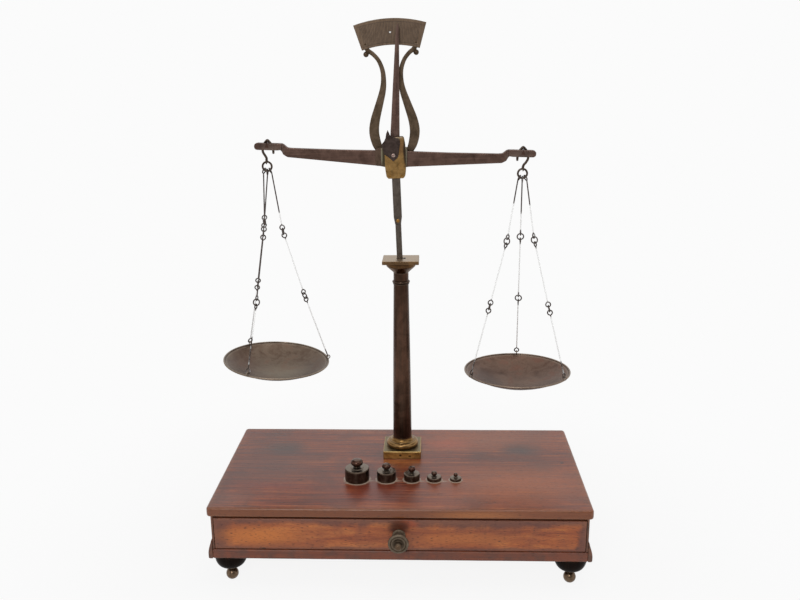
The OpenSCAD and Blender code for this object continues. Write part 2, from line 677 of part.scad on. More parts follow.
// Lifting mast and yoke
module mast_rod() {
    color(iron) in_mast() difference() {
        block(-rod_w / 2, rod_w / 2, -rod_t / 2, rod_t / 2, -rod_inside, bar_foot_h + lap_h);
        rod_y(0, bar_foot_h + bar_taper_h / 2, lap_rivet_d + 2 * run_gap, -rod_t, rod_t);
    }
}
module mast_bar() {
    top = pivot_h + block_top - 0.4;
    color(iron) in_mast() difference() {
        slab(rod_front - rod_t, rod_front) polygon([
            [-rod_w / 2, bar_foot_h], [rod_w / 2, bar_foot_h], [bar_w / 2, bar_foot_h + bar_taper_h],
            [bar_w / 2, top], [-bar_w / 2, top], [-bar_w / 2, bar_foot_h + bar_taper_h]]);
        rod_y(0, bar_foot_h + bar_taper_h / 2, lap_rivet_d + 2 * run_gap, rod_front - 2 * rod_t, rod_t);
    }
}
module mast_rivet() {
    z = bar_foot_h + bar_taper_h / 2;
    color(brass) in_mast() {
        rod_y(0, z, lap_rivet_d, rod_front - rod_t - 0.2, rod_t / 2 + 0.2);
        rod_y(0, z, lap_rivet_d + head_d, rod_front - rod_t - head_h, rod_front - rod_t);
        rod_y(0, z, lap_rivet_d + head_d, rod_t / 2, rod_t / 2 + head_h);
    }
}

module cheek_outline() {
    side = [[cheek_half * 0.72, -cheek_low], [cheek_half * 0.9, -cheek_low + 2.2],
        [cheek_half * 0.96, -cheek_low + 7], [cheek_half, -cheek_low + 12], [cheek_half, 0],
        [cheek_half * 0.9, cheek_high - 1.6], [cheek_half * 0.78, cheek_high]];
    polygon(concat(side, flip(side)));
}
module bearing_window() {
    intersection() {
        translate([0, 1.6]) circle(r = 4.9);
        translate([-8, -run_gap]) square([16, 16]);
    }
}
module yoke_rivet_holes() {
    for (s = [-1, 1]) translate([s * block_rivet_at[0], block_rivet_at[1]])
        circle(d = yoke_rivet_d + 2 * run_gap);
}
module yoke_front_cheek() {
    color(brass) at_yoke() slab(keeper_back, -cheek_gap) difference() {
        cheek_outline();
        bearing_window();
        yoke_rivet_holes();
        translate(keeper_pin_at) circle(d = keeper_pin_d + 2 * run_gap);
    }
}
module yoke_back_cheek() {
    color(old_brass) at_yoke() slab(cheek_gap, lyre_y) difference() {
        cheek_outline();
        bearing_window();
        yoke_rivet_holes();
        lyre_rivet_holes();
    }
}
module yoke_block() {
    color(old_brass) at_yoke() difference() {
        block(-block_half, block_half, -cheek_gap, cheek_gap, -cheek_low, block_top);
        slab(-cheek_gap - 1, cheek_gap + 1) yoke_rivet_holes();
        block(-bar_w / 2 - run_gap, bar_w / 2 + run_gap, rod_front - rod_t - run_gap, rod_front + run_gap,
            -cheek_low - 1, block_top + 1);
    }
}
module yoke_rivets() {
    color(brass) at_yoke() for (s = [-1, 1])
        rod_y(s * block_rivet_at[0], block_rivet_at[1], yoke_rivet_d, keeper_back, lyre_y);
}
module keeper_plate() {
    color(iron) at_yoke() slab(keeper_back - keeper_t, keeper_back) difference() {
        polygon([[-6.6, 17], [-5.3, 14], [-4.4, 11.2], [6, 6.6], [6.2, 2.4], [4.6, -5.5], [3.4, -12],
            [-1.75, -16.6], [-6.9, -12], [-11.4, -8.6], [-13.1, -3], [-13.5, 2.4], [-11, 5.2],
            [-9.3, 8.4], [-8.4, 13]]);
        translate(keeper_pin_at) circle(d = keeper_pin_d + 2 * run_gap);
    }
}
module keeper_pin() {
    color(wire_steel) at_yoke() {
        rod_y(keeper_pin_at[0], keeper_pin_at[1], keeper_pin_d, keeper_back - keeper_t - 0.4, -cheek_gap);
        rod_y(keeper_pin_at[0], keeper_pin_at[1], keeper_pin_d + head_d, keeper_back - keeper_t - head_h,
            keeper_back - keeper_t);
    }
}

// Lyre and indicator plate
module lyre_rivet_holes() {
    for (s = [-1, 1]) translate([s * lyre_rivet_at[0], lyre_rivet_at[1]])
        circle(d = yoke_rivet_d + 2 * run_gap);
}
module plate_rivet_holes() {
    for (s = [-1, 1]) translate([s * plate_rivet_at[0], plate_rivet_at[1]])
        circle(d = yoke_rivet_d + 2 * run_gap);
}
module lyre_frame() {
    low_r = plate_inner_r;
    foot_w = lyre_bar_w * 0.68;
    head_x = low_r * sin(plate_half_angle) - lyre_neck_w * 0.9;
    half = [[cheek_half * 0.93, lyre_low * 0.9, foot_w], [lyre_belly * 0.67, -cheek_high, foot_w],
        [lyre_belly * 0.89, 1, lyre_bar_w * 0.92], [lyre_belly, low_r * 0.13, lyre_bar_w],
        [lyre_belly * 0.93, low_r * 0.25, lyre_bar_w * 0.94],
        [lyre_belly * 0.71, low_r * 0.4, lyre_bar_w * 0.79],
        [lyre_belly * 0.49, low_r * 0.55, lyre_bar_w * 0.64],
        [lyre_waist, low_r * 0.654, lyre_bar_w * 0.52],
        [lyre_waist * 1.07, low_r * 0.755, lyre_neck_w * 1.1], [lyre_waist * 1.45, low_r * 0.85, lyre_neck_w],
        [lyre_waist * 2.04, low_r * 0.915, lyre_neck_w], [head_x - 1.8, low_r * 0.96, lyre_neck_w * 1.1],
        [head_x, low_r * 1.015, lyre_neck_w * 1.1], [head_x + 0.2, low_r * 1.06, lyre_neck_w * 1.1]];
    base_x = cheek_half + 2;
    arm_outline = band(smooth(half, 5));
    color(old_brass) at_yoke() {
        slab(lyre_y, lyre_y + lyre_t) difference() {
            union() {
                polygon(arm_outline);
                polygon(flip(arm_outline));
                polygon([[-base_x, lyre_low], [base_x, lyre_low], [base_x, -cheek_high], [7, -5], [-7, -5],
                    [-base_x, -cheek_high]]);
            }
            lyre_rivet_holes();
            plate_rivet_holes();
        }
        for (s = [-1, 1]) translate([s * head_x, lyre_y + lyre_t / 2, low_r * 0.96 - finial_d * 0.75])
            sphere(d = finial_d, $fn = 32);
    }
}
module lyre_rivets() {
    color(old_brass) at_yoke() for (s = [-1, 1])
        rod_y(s * lyre_rivet_at[0], lyre_rivet_at[1], yoke_rivet_d, cheek_gap, lyre_y + lyre_t);
}
module indicator_plate() {
    a = plate_half_angle;
    color(old_brass) at_yoke() slab(lyre_y - plate_t, lyre_y) difference() {
        polygon(concat(arc(0, 0, plate_outer_r, 90 - a, 90 + a, 28),
            arc(0, 0, plate_inner_r, 90 + a, 90 - a, 28)));
        translate([0, (plate_outer_r + plate_inner_r) / 2 - 0.6]) circle(d = 1.8);
        plate_rivet_holes();
    }
}
module plate_rivets() {
    color(old_brass) at_yoke() for (s = [-1, 1])
        rod_y(s * plate_rivet_at[0], plate_rivet_at[1], yoke_rivet_d, lyre_y - plate_t, lyre_y + lyre_t);
}

// Beam
module knife_outline(back) {
    polygon([[0, 0], [knife_half, back], [-knife_half, back]]);
}
module beam_outline() {
    crank = arm - 22;
    bar_in = arm - end_bar_l / 2 - 1.4;
    bar_out = arm + end_bar_l / 2 - 1.6;
    bar_top = -end_bar_drop;
    bar_low = bar_top - end_bar_h;
    nose = end_bar_h * 0.45;
    side = concat(
        [[0, -beam_belly - 1.4], [9, -beam_belly - 1.2], [16, -beam_belly],
        [crank * 0.65, -(beam_belly + beam_root) / 2 + 0.4], [crank, -beam_root],
        [crank + 4.6, -beam_root + 2.6], [bar_in + 2, bar_low + 0.5], [bar_in + 5, bar_low]],
        arc(bar_out - nose, bar_low + nose, nose, -90, 0, 5),
        arc(bar_out - nose, bar_top - nose, nose, 0, 90, 5),
        [[bar_in + 0.6, bar_top], [bar_in - 1, bar_top - 0.8], [crank, -beam_top + 0.4],
        [crank - 4, -beam_top],
        [crank * 0.5, -beam_top - 0.4], [hub_half + 6, -beam_top], [hub_half, -beam_top + 2],
        [hub_half, hub_top]]);
    polygon(concat(side, flip(side)));
}
module beam_bar() {
    bar_in = arm - end_bar_l / 2 - 1.4;
    color(red_steel) in_beam() difference() {
        union() {
            slab(-beam_t / 2, beam_t / 2) beam_outline();
            slab(-end_bar_w / 2, end_bar_w / 2) intersection() {
                beam_outline();
                for (s = [-1, 1]) translate([s * (bar_in + end_bar_l / 2 + 1) - end_bar_l / 2, -arm / 2])
                    square([end_bar_l, arm]);
            }
        }
        for (s = [-1, 1]) {
            translate([s * arm - slot_l / 2, -slot_w / 2, -arm / 2]) cube([slot_l, slot_w, arm]);
            slab(-end_bar_w, end_bar_w) translate([s * arm, 0]) end_knife_outline();
        }
        slab(-beam_t, beam_t) knife_outline(knife_h);
        slab(-beam_t, beam_t) saddle_rivet_holes();
    }
}
module end_knife_outline() {
    polygon([[0, 0], [knife_half * 0.9, -end_knife_h], [-knife_half * 0.9, -end_knife_h]]);
}
module end_knife(s) {
    in_beam() slab(-end_bar_w / 2, end_bar_w / 2) translate([s * arm, 0]) end_knife_outline();
}
module saddle_rivet_holes() {
    for (p = saddle_rivets) translate(p) circle(d = saddle_rivet_d);
}
module saddle(y) {
    slab(y, y + saddle_t) difference() {
        polygon([[-saddle_left + 1.5, -beam_belly + 0.2], [-saddle_left, -beam_belly + 1.6],
            [-saddle_left, -5.2], [-saddle_left + 1.4, -3.8], [-hub_half - 2, -3.2], [-hub_half, -1],
            [-hub_half, hub_top],
            [hub_half, hub_top], [hub_half, -1], [hub_half + 1.5, -1.6], [saddle_right - 1, -1.6],
            [saddle_right, -2.6], [saddle_right, -beam_belly + 0.8], [saddle_right - 1, -beam_belly]]);
        knife_outline(knife_h);
    }
}
module saddle_front() {
    color(old_brass) in_beam() saddle(-saddle_y);
}
module saddle_back() {
    color(old_brass) in_beam() {
        saddle(beam_t / 2);
        for (p = saddle_rivets) rod_y(p[0], p[1], saddle_rivet_d - 2 * run_gap, -beam_t / 2, beam_t / 2 + 0.4);
    }
}
module centre_knife() {
    half_l = cheek_gap + cheek_t - seat_gap;
    color(iron) in_beam() slab(-half_l, half_l) knife_outline(knife_h);
}
module left_knife() { color(iron) end_knife(-1); }
module right_knife() { color(iron) end_knife(1); }

module pointer() {
    shoulder = plate_inner_r - 2;
    color(red_steel) in_beam() slab(-pointer_t / 2, pointer_t / 2) polygon([
        [pointer_w / 2, hub_top], [2.25, shoulder], [1.2, pointer_l - 2], [0.3, pointer_l],
        [-0.3, pointer_l], [-1.2, pointer_l - 2], [-2.25, shoulder], [-pointer_w / 2, hub_top]]);
}

// Hooks: side is 1 where the open back of the hook faces right
module hook(point, side, lean) {
    crown = hook_wire * 0.72;
    path = [[-5.9, -12.6, 0.9], [-5.9, -11, 2.1], [-5.4, -6.5, hook_wire], [-3.7, -2.4, hook_wire],
        [-0.9, 0.9, hook_wire], [0, crown - 0.2, hook_wire], [0.9, 0.9, hook_wire], [3.7, -2.4, hook_wire],
        [5.5, -7, hook_wire], [5.4, -11, hook_wire], [3.2, -15, hook_wire], [0.8 + lean / 2, -17.6, hook_wire],
        [0.2 + lean, -hook_drop + hook_ring_r + 0.4, hook_wire]];
    steps = 4;
    edges = band(smooth(path, steps));
    apex = len(edges) - 1 - 5 * steps;
    // the inner edge runs straight to one point over the knife edge
    outline = [for (i = [0:len(edges) - 1]) let (p = edges[i])
        if (i == apex) [0, run_gap] else if (i < len(edges) / 2 || abs(p[0]) > 1.6 || p[1] < -2.1) p];
    color(iron) placed() translate(point) {
        difference() {
            slab(-hook_wire / 2, hook_wire / 2) mirror([side > 0 ? 0 : 1, 0]) polygon(outline);
            slab(-hook_wire, hook_wire) translate([0, run_gap]) polygon([[-3.2, -3.6], [0, 0], [3.2, -3.6]]);
        }
        ring([side * lean, 0, -hook_drop], [0, 1, 0], hook_ring_r, hook_ring_wire, 40);
    }
}
module left_hook() { hook(left_point, -1, left_ring_lean); }
module right_hook() { hook(right_point, 1, 0); }

// Pans: places are measured from the rim's centre
function rim_turn(lie, p) = let (x = p[0] * cos(lie[1]) + p[2] * sin(lie[1]),
    z = p[2] * cos(lie[1]) - p[0] * sin(lie[1]))
    [x, p[1] * cos(lie[0]) - z * sin(lie[0]), p[1] * sin(lie[0]) + z * cos(lie[0])];
function eyelet_centre(lie, a) =
    rim_turn(lie, [(pan_r - 0.6) * cos(a), (pan_r - 0.6) * sin(a), eyelet_height]);

module dish(lie, turns) {
    bead = rim_bead_d / 2;
    wall = [for (i = [0:14]) let (a = asin((pan_r - bead) / sphere_r) * i / 14)
        [sphere_r * sin(a), sphere_r - pan_depth - sphere_r * cos(a)]];
    inner = [for (i = [14:-1:0]) let (a = asin((pan_r - bead) / sphere_r) * i / 14)
        [(sphere_r - pan_t) * sin(a), sphere_r - pan_depth - (sphere_r - pan_t) * cos(a)]];
    rotate([lie[0], 0, 0]) rotate([0, lie[1], 0]) {
        rotate_extrude($fn = 96) polygon(concat(wall, inner));
        rotate_extrude($fn = 96) translate([pan_r - bead, -bead * 0.4]) circle(d = rim_bead_d, $fn = 16);
        for (a = turns)
            ring([(pan_r - 0.6) * cos(a), (pan_r - 0.6) * sin(a), eyelet_height], [-sin(a), cos(a), 0],
                eyelet_r, eyelet_wire);
    }
}

// One leg: three wire links with eyes at both ends and a ring at each joint, from the hook's ring
// to an eyelet on the rim. The eyes at the joints face the front.
module leg(hang, lie, a, bow, place, split, faces) {
    side = rim_turn(lie, [-sin(a), cos(a), 0]);
    out = [cos(a), sin(a), 0];
    step = place * top_eye_step;
    lean = place * top_eye_lean;
    turn = place * top_eye_turn;
    drop = eye_drop - abs(place) * outer_eye_rise;
    rise = hook_ring_r - sqrt(pow(hook_ring_r, 2) - pow(step, 2));
    top = [step + drop * sin(lean), 0, hang - ring_low + rise - drop];
    top_dir = [cos(turn) * cos(lean), sin(turn), cos(turn) * sin(lean)];
    eyelet = eyelet_centre(lie, a);
    reach = norm([eyelet[0], eyelet[1]]);
    height = top[2] - eyelet[2];
    joint = [for (i = [0:1]) out * (reach * split[i] - bow * (1 - 0.15 * i))
        + [0, 0, top[2] - height * split[i]]];
    up_1 = unit(top - joint[0]);
    up_2 = unit(joint[0] - joint[1]);
    up_3 = unit(joint[1] - eyelet);
    pitch = eye_r + joint_ring_r - leg_wire - slack;
    low_pitch = eyelet_r + eye_r - (eyelet_wire + leg_wire) / 2 - slack;
    link(top, joint[0] + up_1 * pitch, top_dir, facing(up_1, faces[0]), top_eye_r);
    ring(joint[0], cross(up_1, facing(up_1, faces[0])), joint_ring_r, leg_wire);
    link(joint[0] - up_2 * pitch, joint[1] + up_2 * pitch, facing(up_2, faces[0]),
        facing(up_2, faces[1]), eye_r);
    ring(joint[1], cross(up_2, facing(up_2, faces[1])), joint_ring_r, leg_wire);
    link(joint[1] - up_3 * pitch, eyelet + up_3 * low_pitch, facing(up_3, faces[1]),
        cross(side, up_3), eye_r);
}
module link(high, low, high_dir, low_dir, high_r) {
    ring(high, high_dir, high_r, leg_wire);
    ring(low, low_dir, eye_r, leg_wire);
    down = unit(low - high);
    start = high + unit(down - high_dir * (down * high_dir)) * high_r;
    rod_between(start, low - down * eye_r, leg_wire - wire_draw);
}

module left_leg(k, place) {
    color(wire_steel) placed() translate(left_point - [left_ring_lean, 0, left_hang])
        leg(left_hang, left_lie, left_leg_turns[k], left_bow, place, left_splits[k], left_faces[k]);
}
module right_leg(k, place) {
    color(wire_steel) placed() translate(right_point - [0, 0, right_hang])
        leg(right_hang, right_lie, right_leg_turns[k], right_bow, place, right_splits[k],
            right_faces[k]);
}
module left_pan_dish() {
    color(old_brass) placed() translate(left_point - [left_ring_lean, 0, left_hang])
        dish(left_lie, left_leg_turns);
}
module right_pan_dish() {
    color(old_brass) placed() translate(right_point - [0, 0, right_hang])
        dish(right_lie, right_leg_turns);
}
module left_pan_leg_1() { left_leg(0, 1); }
module left_pan_leg_2() { left_leg(1, -1); }
module left_pan_leg_3() { left_leg(2, 0); }
module right_pan_leg_1() { right_leg(0, 1); }
module right_pan_leg_2() { right_leg(1, 0); }
module right_pan_leg_3() { right_leg(2, -1); }

// Weights: body, shoulder, neck and knob, standing on the board
module knob_weight(i) {
    r = weight_d[i] / 2;
    h = weight_h[i];
    knob_r = weight_knob_d[i] / 2;
    knob_h = weight_knob_h[i];
    edge = min(1, h * 0.25);
    neck_z = h * 1.16 + 0.6;
    color(bronze) placed() translate([weight_x[i], -weight_row_y, board_top_z])
        rotate_extrude() polygon(concat(
            [[0, 0], [r - edge, 0], [r, edge], [r, h - edge], [r - edge, h], [r * 0.72, h + 0.4],
            [knob_r * 0.62, h + 0.9], [knob_r * 0.52, neck_z]],
            [for (k = [0:8]) let (a = -70 + 160 * k / 8)
                [knob_r * cos(a), neck_z + knob_h / 2 + knob_h / 2 * sin(a)]]));
}
module weight_1() { knob_weight(0); }
module weight_2() { knob_weight(1); }
module weight_3() { knob_weight(2); }
module weight_4() { knob_weight(3); }
module weight_5() { knob_weight(4); }

top_board();
case_left_side();
case_right_side();
case_back();
case_bottom();
front_rail();
left_moulding();
right_moulding();
drawer_runners();
foot_buns();
foot_balls();
drawer_front();
drawer_left_side();
drawer_right_side();
drawer_back();
drawer_bottom();
drawer_knob();
knob_screw();
column_plinth();
column_base_ring();
column_shaft();
column_capital();
column_bolt();
column_nut();
mast_rod();
mast_bar();
mast_rivet();
yoke_front_cheek();
yoke_back_cheek();
yoke_block();
yoke_rivets();
keeper_plate();
keeper_pin();
lyre_frame();
lyre_rivets();
indicator_plate();
plate_rivets();
beam_bar();
saddle_front();
saddle_back();
centre_knife();
left_knife();
right_knife();
pointer();
left_hook();
right_hook();
left_pan_dish();
left_pan_leg_1();
left_pan_leg_2();
left_pan_leg_3();
right_pan_dish();
right_pan_leg_1();
right_pan_leg_2();
right_pan_leg_3();
weight_1();
weight_2();
weight_3();
weight_4();
weight_5();
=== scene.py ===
import json
import math

import bmesh
import bpy
from mathutils import Matrix, Vector, noise


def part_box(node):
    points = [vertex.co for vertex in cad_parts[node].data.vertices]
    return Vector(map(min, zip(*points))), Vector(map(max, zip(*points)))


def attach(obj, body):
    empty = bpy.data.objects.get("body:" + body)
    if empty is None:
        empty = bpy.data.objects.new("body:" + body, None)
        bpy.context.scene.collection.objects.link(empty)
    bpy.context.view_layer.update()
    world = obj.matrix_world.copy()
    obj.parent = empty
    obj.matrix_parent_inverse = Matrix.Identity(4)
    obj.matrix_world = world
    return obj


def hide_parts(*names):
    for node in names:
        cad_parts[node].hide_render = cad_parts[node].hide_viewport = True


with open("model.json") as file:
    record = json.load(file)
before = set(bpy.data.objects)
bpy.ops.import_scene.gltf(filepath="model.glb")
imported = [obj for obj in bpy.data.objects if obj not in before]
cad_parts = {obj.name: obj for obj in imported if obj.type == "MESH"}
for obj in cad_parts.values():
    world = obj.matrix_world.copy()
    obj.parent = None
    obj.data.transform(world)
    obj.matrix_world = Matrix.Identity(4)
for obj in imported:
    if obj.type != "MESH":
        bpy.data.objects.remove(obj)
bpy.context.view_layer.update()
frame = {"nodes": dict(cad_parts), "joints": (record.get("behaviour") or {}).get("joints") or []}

mm = 0.001
joints = {joint["name"]: joint for joint in frame["joints"]}


def hexColour(code):
    # sRGB hex to linear RGBA
    channels = [int(code[i:i + 2], 16) / 255 for i in (0, 2, 4)]
    return tuple(c / 12.92 if c <= 0.04045 else ((c + 0.055) / 1.055) ** 2.4 for c in channels) + (1.0,)


def plug(tree, node, inputs):
    # values and links into a node's inputs, by name or number
    for socket, value in inputs.items():
        if isinstance(value, bpy.types.Node):
            value = next(output for output in value.outputs if output.enabled)
        if isinstance(value, bpy.types.NodeSocket):
            tree.links.new(value, node.inputs[socket])
        else:
            node.inputs[socket].default_value = value


def addNode(tree, kind, inputs=None, stops=(), **settings):
    # one node with its settings, values and links; stops are a colour ramp's places and colours.
    # Inputs by number: noise has 2 scale, 3 detail, 4 roughness, 8 distortion, a mapping 1 shift and 3 scale,
    # a map range 1 and 2 from, 3 and 4 to, and a mix 0 part, 2 and 3 its numbers, 6 and 7 its colours
    node = tree.nodes.new(kind)
    for name, value in settings.items():
        setattr(node, name, value)
    plug(tree, node, inputs or {})
    for index, (place, colour) in enumerate(stops):
        elements = node.color_ramp.elements
        element = elements[index] if index < len(elements) else elements.new(place)
        element.position, element.color = place, hexColour(colour)
    return node


def newMaterial(name):
    material = bpy.data.materials.new(name)
    material.use_nodes = True
    tree = material.node_tree
    tree.nodes.clear()
    shader = addNode(tree, "ShaderNodeBsdfPrincipled")
    addNode(tree, "ShaderNodeOutputMaterial", {0: shader})
    return material, tree, shader


def objectMm(tree):
    # Object coordinates in millimetres, so a texture's scale is one over a real size
    place = addNode(tree, "ShaderNodeTexCoord").outputs["Object"]
    return addNode(tree, "ShaderNodeVectorMath", {0: place, 1: (1 / mm,) * 3}, operation="MULTIPLY")


def boxMm(node):
    return tuple(Vector(corner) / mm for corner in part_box(node))


def midMm(node):
    return sum(boxMm(node), Vector()) / 2


# Places of the main parts, in millimetres
boardLow, boardHigh = boxMm("top_board")
boardMid, columnMid = midMm("top_board"), midMm("column_shaft")
pivot, leftEdge, rightEdge = (Vector(joints[name]["pos_m"]) / mm
                              for name in ("beam_tilt", "left_hook_plumb", "right_hook_plumb"))


def frameMatrix(origin, right, up):
    # local X along right, Z along up, Y to the back
    back = up.cross(right)
    return Matrix.Translation(origin) @ Matrix((right, back, up)).transposed().to_4x4()


mastUp = Vector(joints["mast_lift"]["axis"]).normalized()
yokePlace = frameMatrix(pivot, Vector((mastUp.z, 0, -mastUp.x)), mastUp)
beamRight = (rightEdge - leftEdge).normalized()
beamPlace = frameMatrix(pivot, beamRight, Vector((-beamRight.z, 0, beamRight.x)))

# Camera, at the photograph's viewing angle
cameraSetting = {
    "right": 31.84,      # mm from the middle of the board
    "front": 889.73,
    "height": 526.71,    # mm over the floor
    "turn": 2.053,       # degrees
    "down": 14.975,
    "roll": -0.548,
    "lens": 38.25,
}


def makeCamera(look):
    turn, down, roll = (math.radians(look[k]) for k in ("turn", "down", "roll"))
    forward = Vector((-math.sin(turn) * math.cos(down), math.cos(turn) * math.cos(down), -math.sin(down)))
    level = Vector((math.cos(turn), math.sin(turn), 0))
    upright = level.cross(forward)
    right = level * math.cos(roll) + upright * math.sin(roll)
    up = upright * math.cos(roll) - level * math.sin(roll)
    data = bpy.data.cameras.new("viewCamera")
    data.lens, data.sensor_width = look["lens"], 36
    data.clip_start, data.clip_end = 0.01, 60
    camera = bpy.data.objects.new("viewCamera", data)
    place = Vector((boardMid.x + look["right"], boardMid.y - look["front"], look["height"])) * mm
    camera.matrix_world = Matrix.Translation(place) @ Matrix((right, up, -forward)).transposed().to_4x4()
    bpy.context.scene.collection.objects.link(camera)
    bpy.context.scene.camera = camera


makeCamera(cameraSetting)

# Studio: white all round, dim only towards the front, so metal that faces the viewer stays dark
studioLook = {
    "white": 0.965,      # background as the eye and polished metal see it
    "ambient": 0.62,     # light that reaches dull surfaces
    "front": 0.30,       # the dim front of the room, seen only in reflections
    "frontWay": (0.05, -0.985, 0.16),
    "frontSpread": (0.5, 0.93),         # cosines of the angles where the dim front starts and is full
    "floorSize": 14.0,                  # metres
    "floorTone": 0.86,
    "shadowFade": (0.2, 0.55),          # metres from the middle: the shadow fades out between them
    "shadowPart": 0.92,                 # how white the floor is under the shadow
    "lamps": {"frontSoftbox": {"place": (-0.35, -2.0, 1.5), "aim": (0, 0, 0.25), "size": 0.9, "watts": 17},
        "topSoftbox": {"place": (0.3, -0.1, 2.2), "aim": (0, 0, 0.2), "size": 1.1, "watts": 6}},
}


def lightPathWhite(tree):
    # 1 for the camera and for rays from gloss and glass
    path = addNode(tree, "ShaderNodeLightPath").outputs
    gloss = addNode(tree, "ShaderNodeMath", {0: path["Is Glossy Ray"], 1: path["Is Transmission Ray"]},
        operation="MAXIMUM")
    seen = addNode(tree, "ShaderNodeMath", {0: path["Is Camera Ray"], 1: gloss}, operation="MAXIMUM")
    return path["Is Camera Ray"], seen


def makeWorld(look):
    world = bpy.data.worlds.new("studioWorld")
    bpy.context.scene.world = world
    world.use_nodes = True
    tree = world.node_tree
    tree.nodes.clear()
    direct, seen = lightPathWhite(tree)
    sky = addNode(tree, "ShaderNodeTexCoord").outputs["Generated"]
    aim = addNode(tree, "ShaderNodeVectorMath", {0: sky, 1: look["frontWay"]}, operation="DOT_PRODUCT")
    start, full = look["frontSpread"]
    front = addNode(tree, "ShaderNodeMapRange", {0: aim.outputs["Value"], 1: start, 2: full, 3: look["white"],
        4: look["front"]}, interpolation_type="SMOOTHSTEP")
    mirror = addNode(tree, "ShaderNodeMix", {0: direct, 2: front, 3: look["white"]})
    level = addNode(tree, "ShaderNodeMix", {0: seen, 2: look["ambient"], 3: mirror})
    back = addNode(tree, "ShaderNodeBackground", {0: (1, 1, 1, 1), 1: level})
    addNode(tree, "ShaderNodeOutputWorld", {0: back})


def makeFloor(look):
    # the floor keeps the object's soft shadow near it and is plain white further out
    half = look["floorSize"] / 2
    mesh = bpy.data.meshes.new("studioFloor")
    mesh.from_pydata([(-half, -half, 0), (half, -half, 0), (half, half, 0), (-half, half, 0)], [],
        [(0, 1, 2, 3)])
    floor = bpy.data.objects.new("studioFloor", mesh)
    bpy.context.scene.collection.objects.link(floor)
    material, tree, shader = newMaterial("matt white paper floor")
    plug(tree, shader, {"Base Color": (look["floorTone"],) * 3 + (1,), "Roughness": 0.9,
        "Specular IOR Level": 0.1})
    seen = lightPathWhite(tree)[1]
    place = addNode(tree, "ShaderNodeTexCoord").outputs["Object"]
    far = addNode(tree, "ShaderNodeVectorMath", {0: place}, operation="LENGTH").outputs["Value"]
    start, end = look["shadowFade"]
    plain = addNode(tree, "ShaderNodeMapRange", {0: far, 1: start, 2: end, 3: look["shadowPart"], 4: 1},
        interpolation_type="SMOOTHSTEP")
    part = addNode(tree, "ShaderNodeMath", {0: seen, 1: plain}, operation="MULTIPLY")
    glow = addNode(tree, "ShaderNodeEmission", {0: (look["white"],) * 3 + (1,), 1: 1.0})
    mixed = addNode(tree, "ShaderNodeMixShader", {0: part, 1: shader, 2: glow})
    plug(tree, next(node for node in tree.nodes if node.type == "OUTPUT_MATERIAL"), {0: mixed})
    mesh.materials.append(material)


def makeLamp(name, look):
    data = bpy.data.lights.new(name, "AREA")
    data.shape, data.size, data.energy = "DISK", look["size"], look["watts"]
    lamp = bpy.data.objects.new(name, data)
    place, aim = Vector(look["place"]), Vector(look["aim"])
    turn = (aim - place).to_track_quat("-Z", "Y").to_matrix().to_4x4()
    lamp.matrix_world = Matrix.Translation(place) @ turn
    bpy.context.scene.collection.objects.link(lamp)


makeWorld(studioLook)
makeFloor(studioLook)
for name, look in studioLook["lamps"].items():
    makeLamp(name, look)
print("Camera, lamps and floor ready")


# Mesh helpers: all lists are in millimetres, and the mesh is in metres
def meshFrom(name, points, faces, place):
    mesh = bpy.data.meshes.new(name)
    mesh.from_pydata([(place @ Vector(p)) * mm for p in points], [], faces)
    mesh.validate()
    return mesh


def faceOut(mesh):
    bm = bmesh.new()
    bm.from_mesh(mesh)
    bmesh.ops.recalc_face_normals(bm, faces=bm.faces[:])
    bm.to_mesh(mesh)
    bm.free()
    return mesh


def circle(count):
    # cosine and sine of equal steps round a full turn
    return [(math.cos(math.tau * i / count), math.sin(math.tau * i / count)) for i in range(count)]


def arc(start, end, steps, first=0):
    # equal steps from one angle to another, in radians
    return [start + (end - start) * i / steps for i in range(first, steps + 1)]


turnedShape = {"longFace": 2.4, "edgeMarkReach": 0.5}     # mm


def turned(name, profile, sides, place=Matrix()):
    # lathe work: profile runs in (radius, height), and a radius of 0 closes it
    points, rings, closer = [], [], [profile[0]]
    for start, end in zip(profile, profile[1:]):
        # a loop close to each end of a long face keeps the edge wear and painted highlight at its edges
        run = math.dist(start, end)
        if run > turnedShape["longFace"]:
            near = turnedShape["edgeMarkReach"] / run
            closer += [tuple(a + (b - a) * part for a, b in zip(start, end)) for part in (near, 1 - near)]
        closer.append(end)
    for radius, height in closer:
        rings.append([len(points)] if radius < 1e-6 else range(len(points), len(points) + sides))
        points += [(radius * c, radius * s, height) for c, s in circle(sides)][:len(rings[-1])]
    faces = []
    for low, high in zip(rings, rings[1:]):
        for i in range(sides):
            k = (i + 1) % sides
            if len(low) > 1 and len(high) > 1:
                faces.append((low[i], low[k], high[k], high[i]))
            elif len(low) > 1:
                faces.append((low[i], low[k], high[0]))
            elif len(high) > 1:
                faces.append((low[0], high[k], high[i]))
    return faceOut(meshFrom(name, points, faces, place))


def rounded(points, steps):
    # smooth run through a list of points
    points = [Vector(p) for p in points]
    last = len(points) - 1
    run = []
    for i in range(last):
        a, b, c, d = (points[min(max(i + k, 0), last)] for k in (-1, 0, 1, 2))
        for t in (k / steps for k in range(steps)):
            run.append(0.5 * (2 * b + (c - a) * t + (2 * a - 5 * b + 4 * c - d) * t * t
                + (3 * b - a - 3 * c + d) * t ** 3))
    return run + [points[-1]]


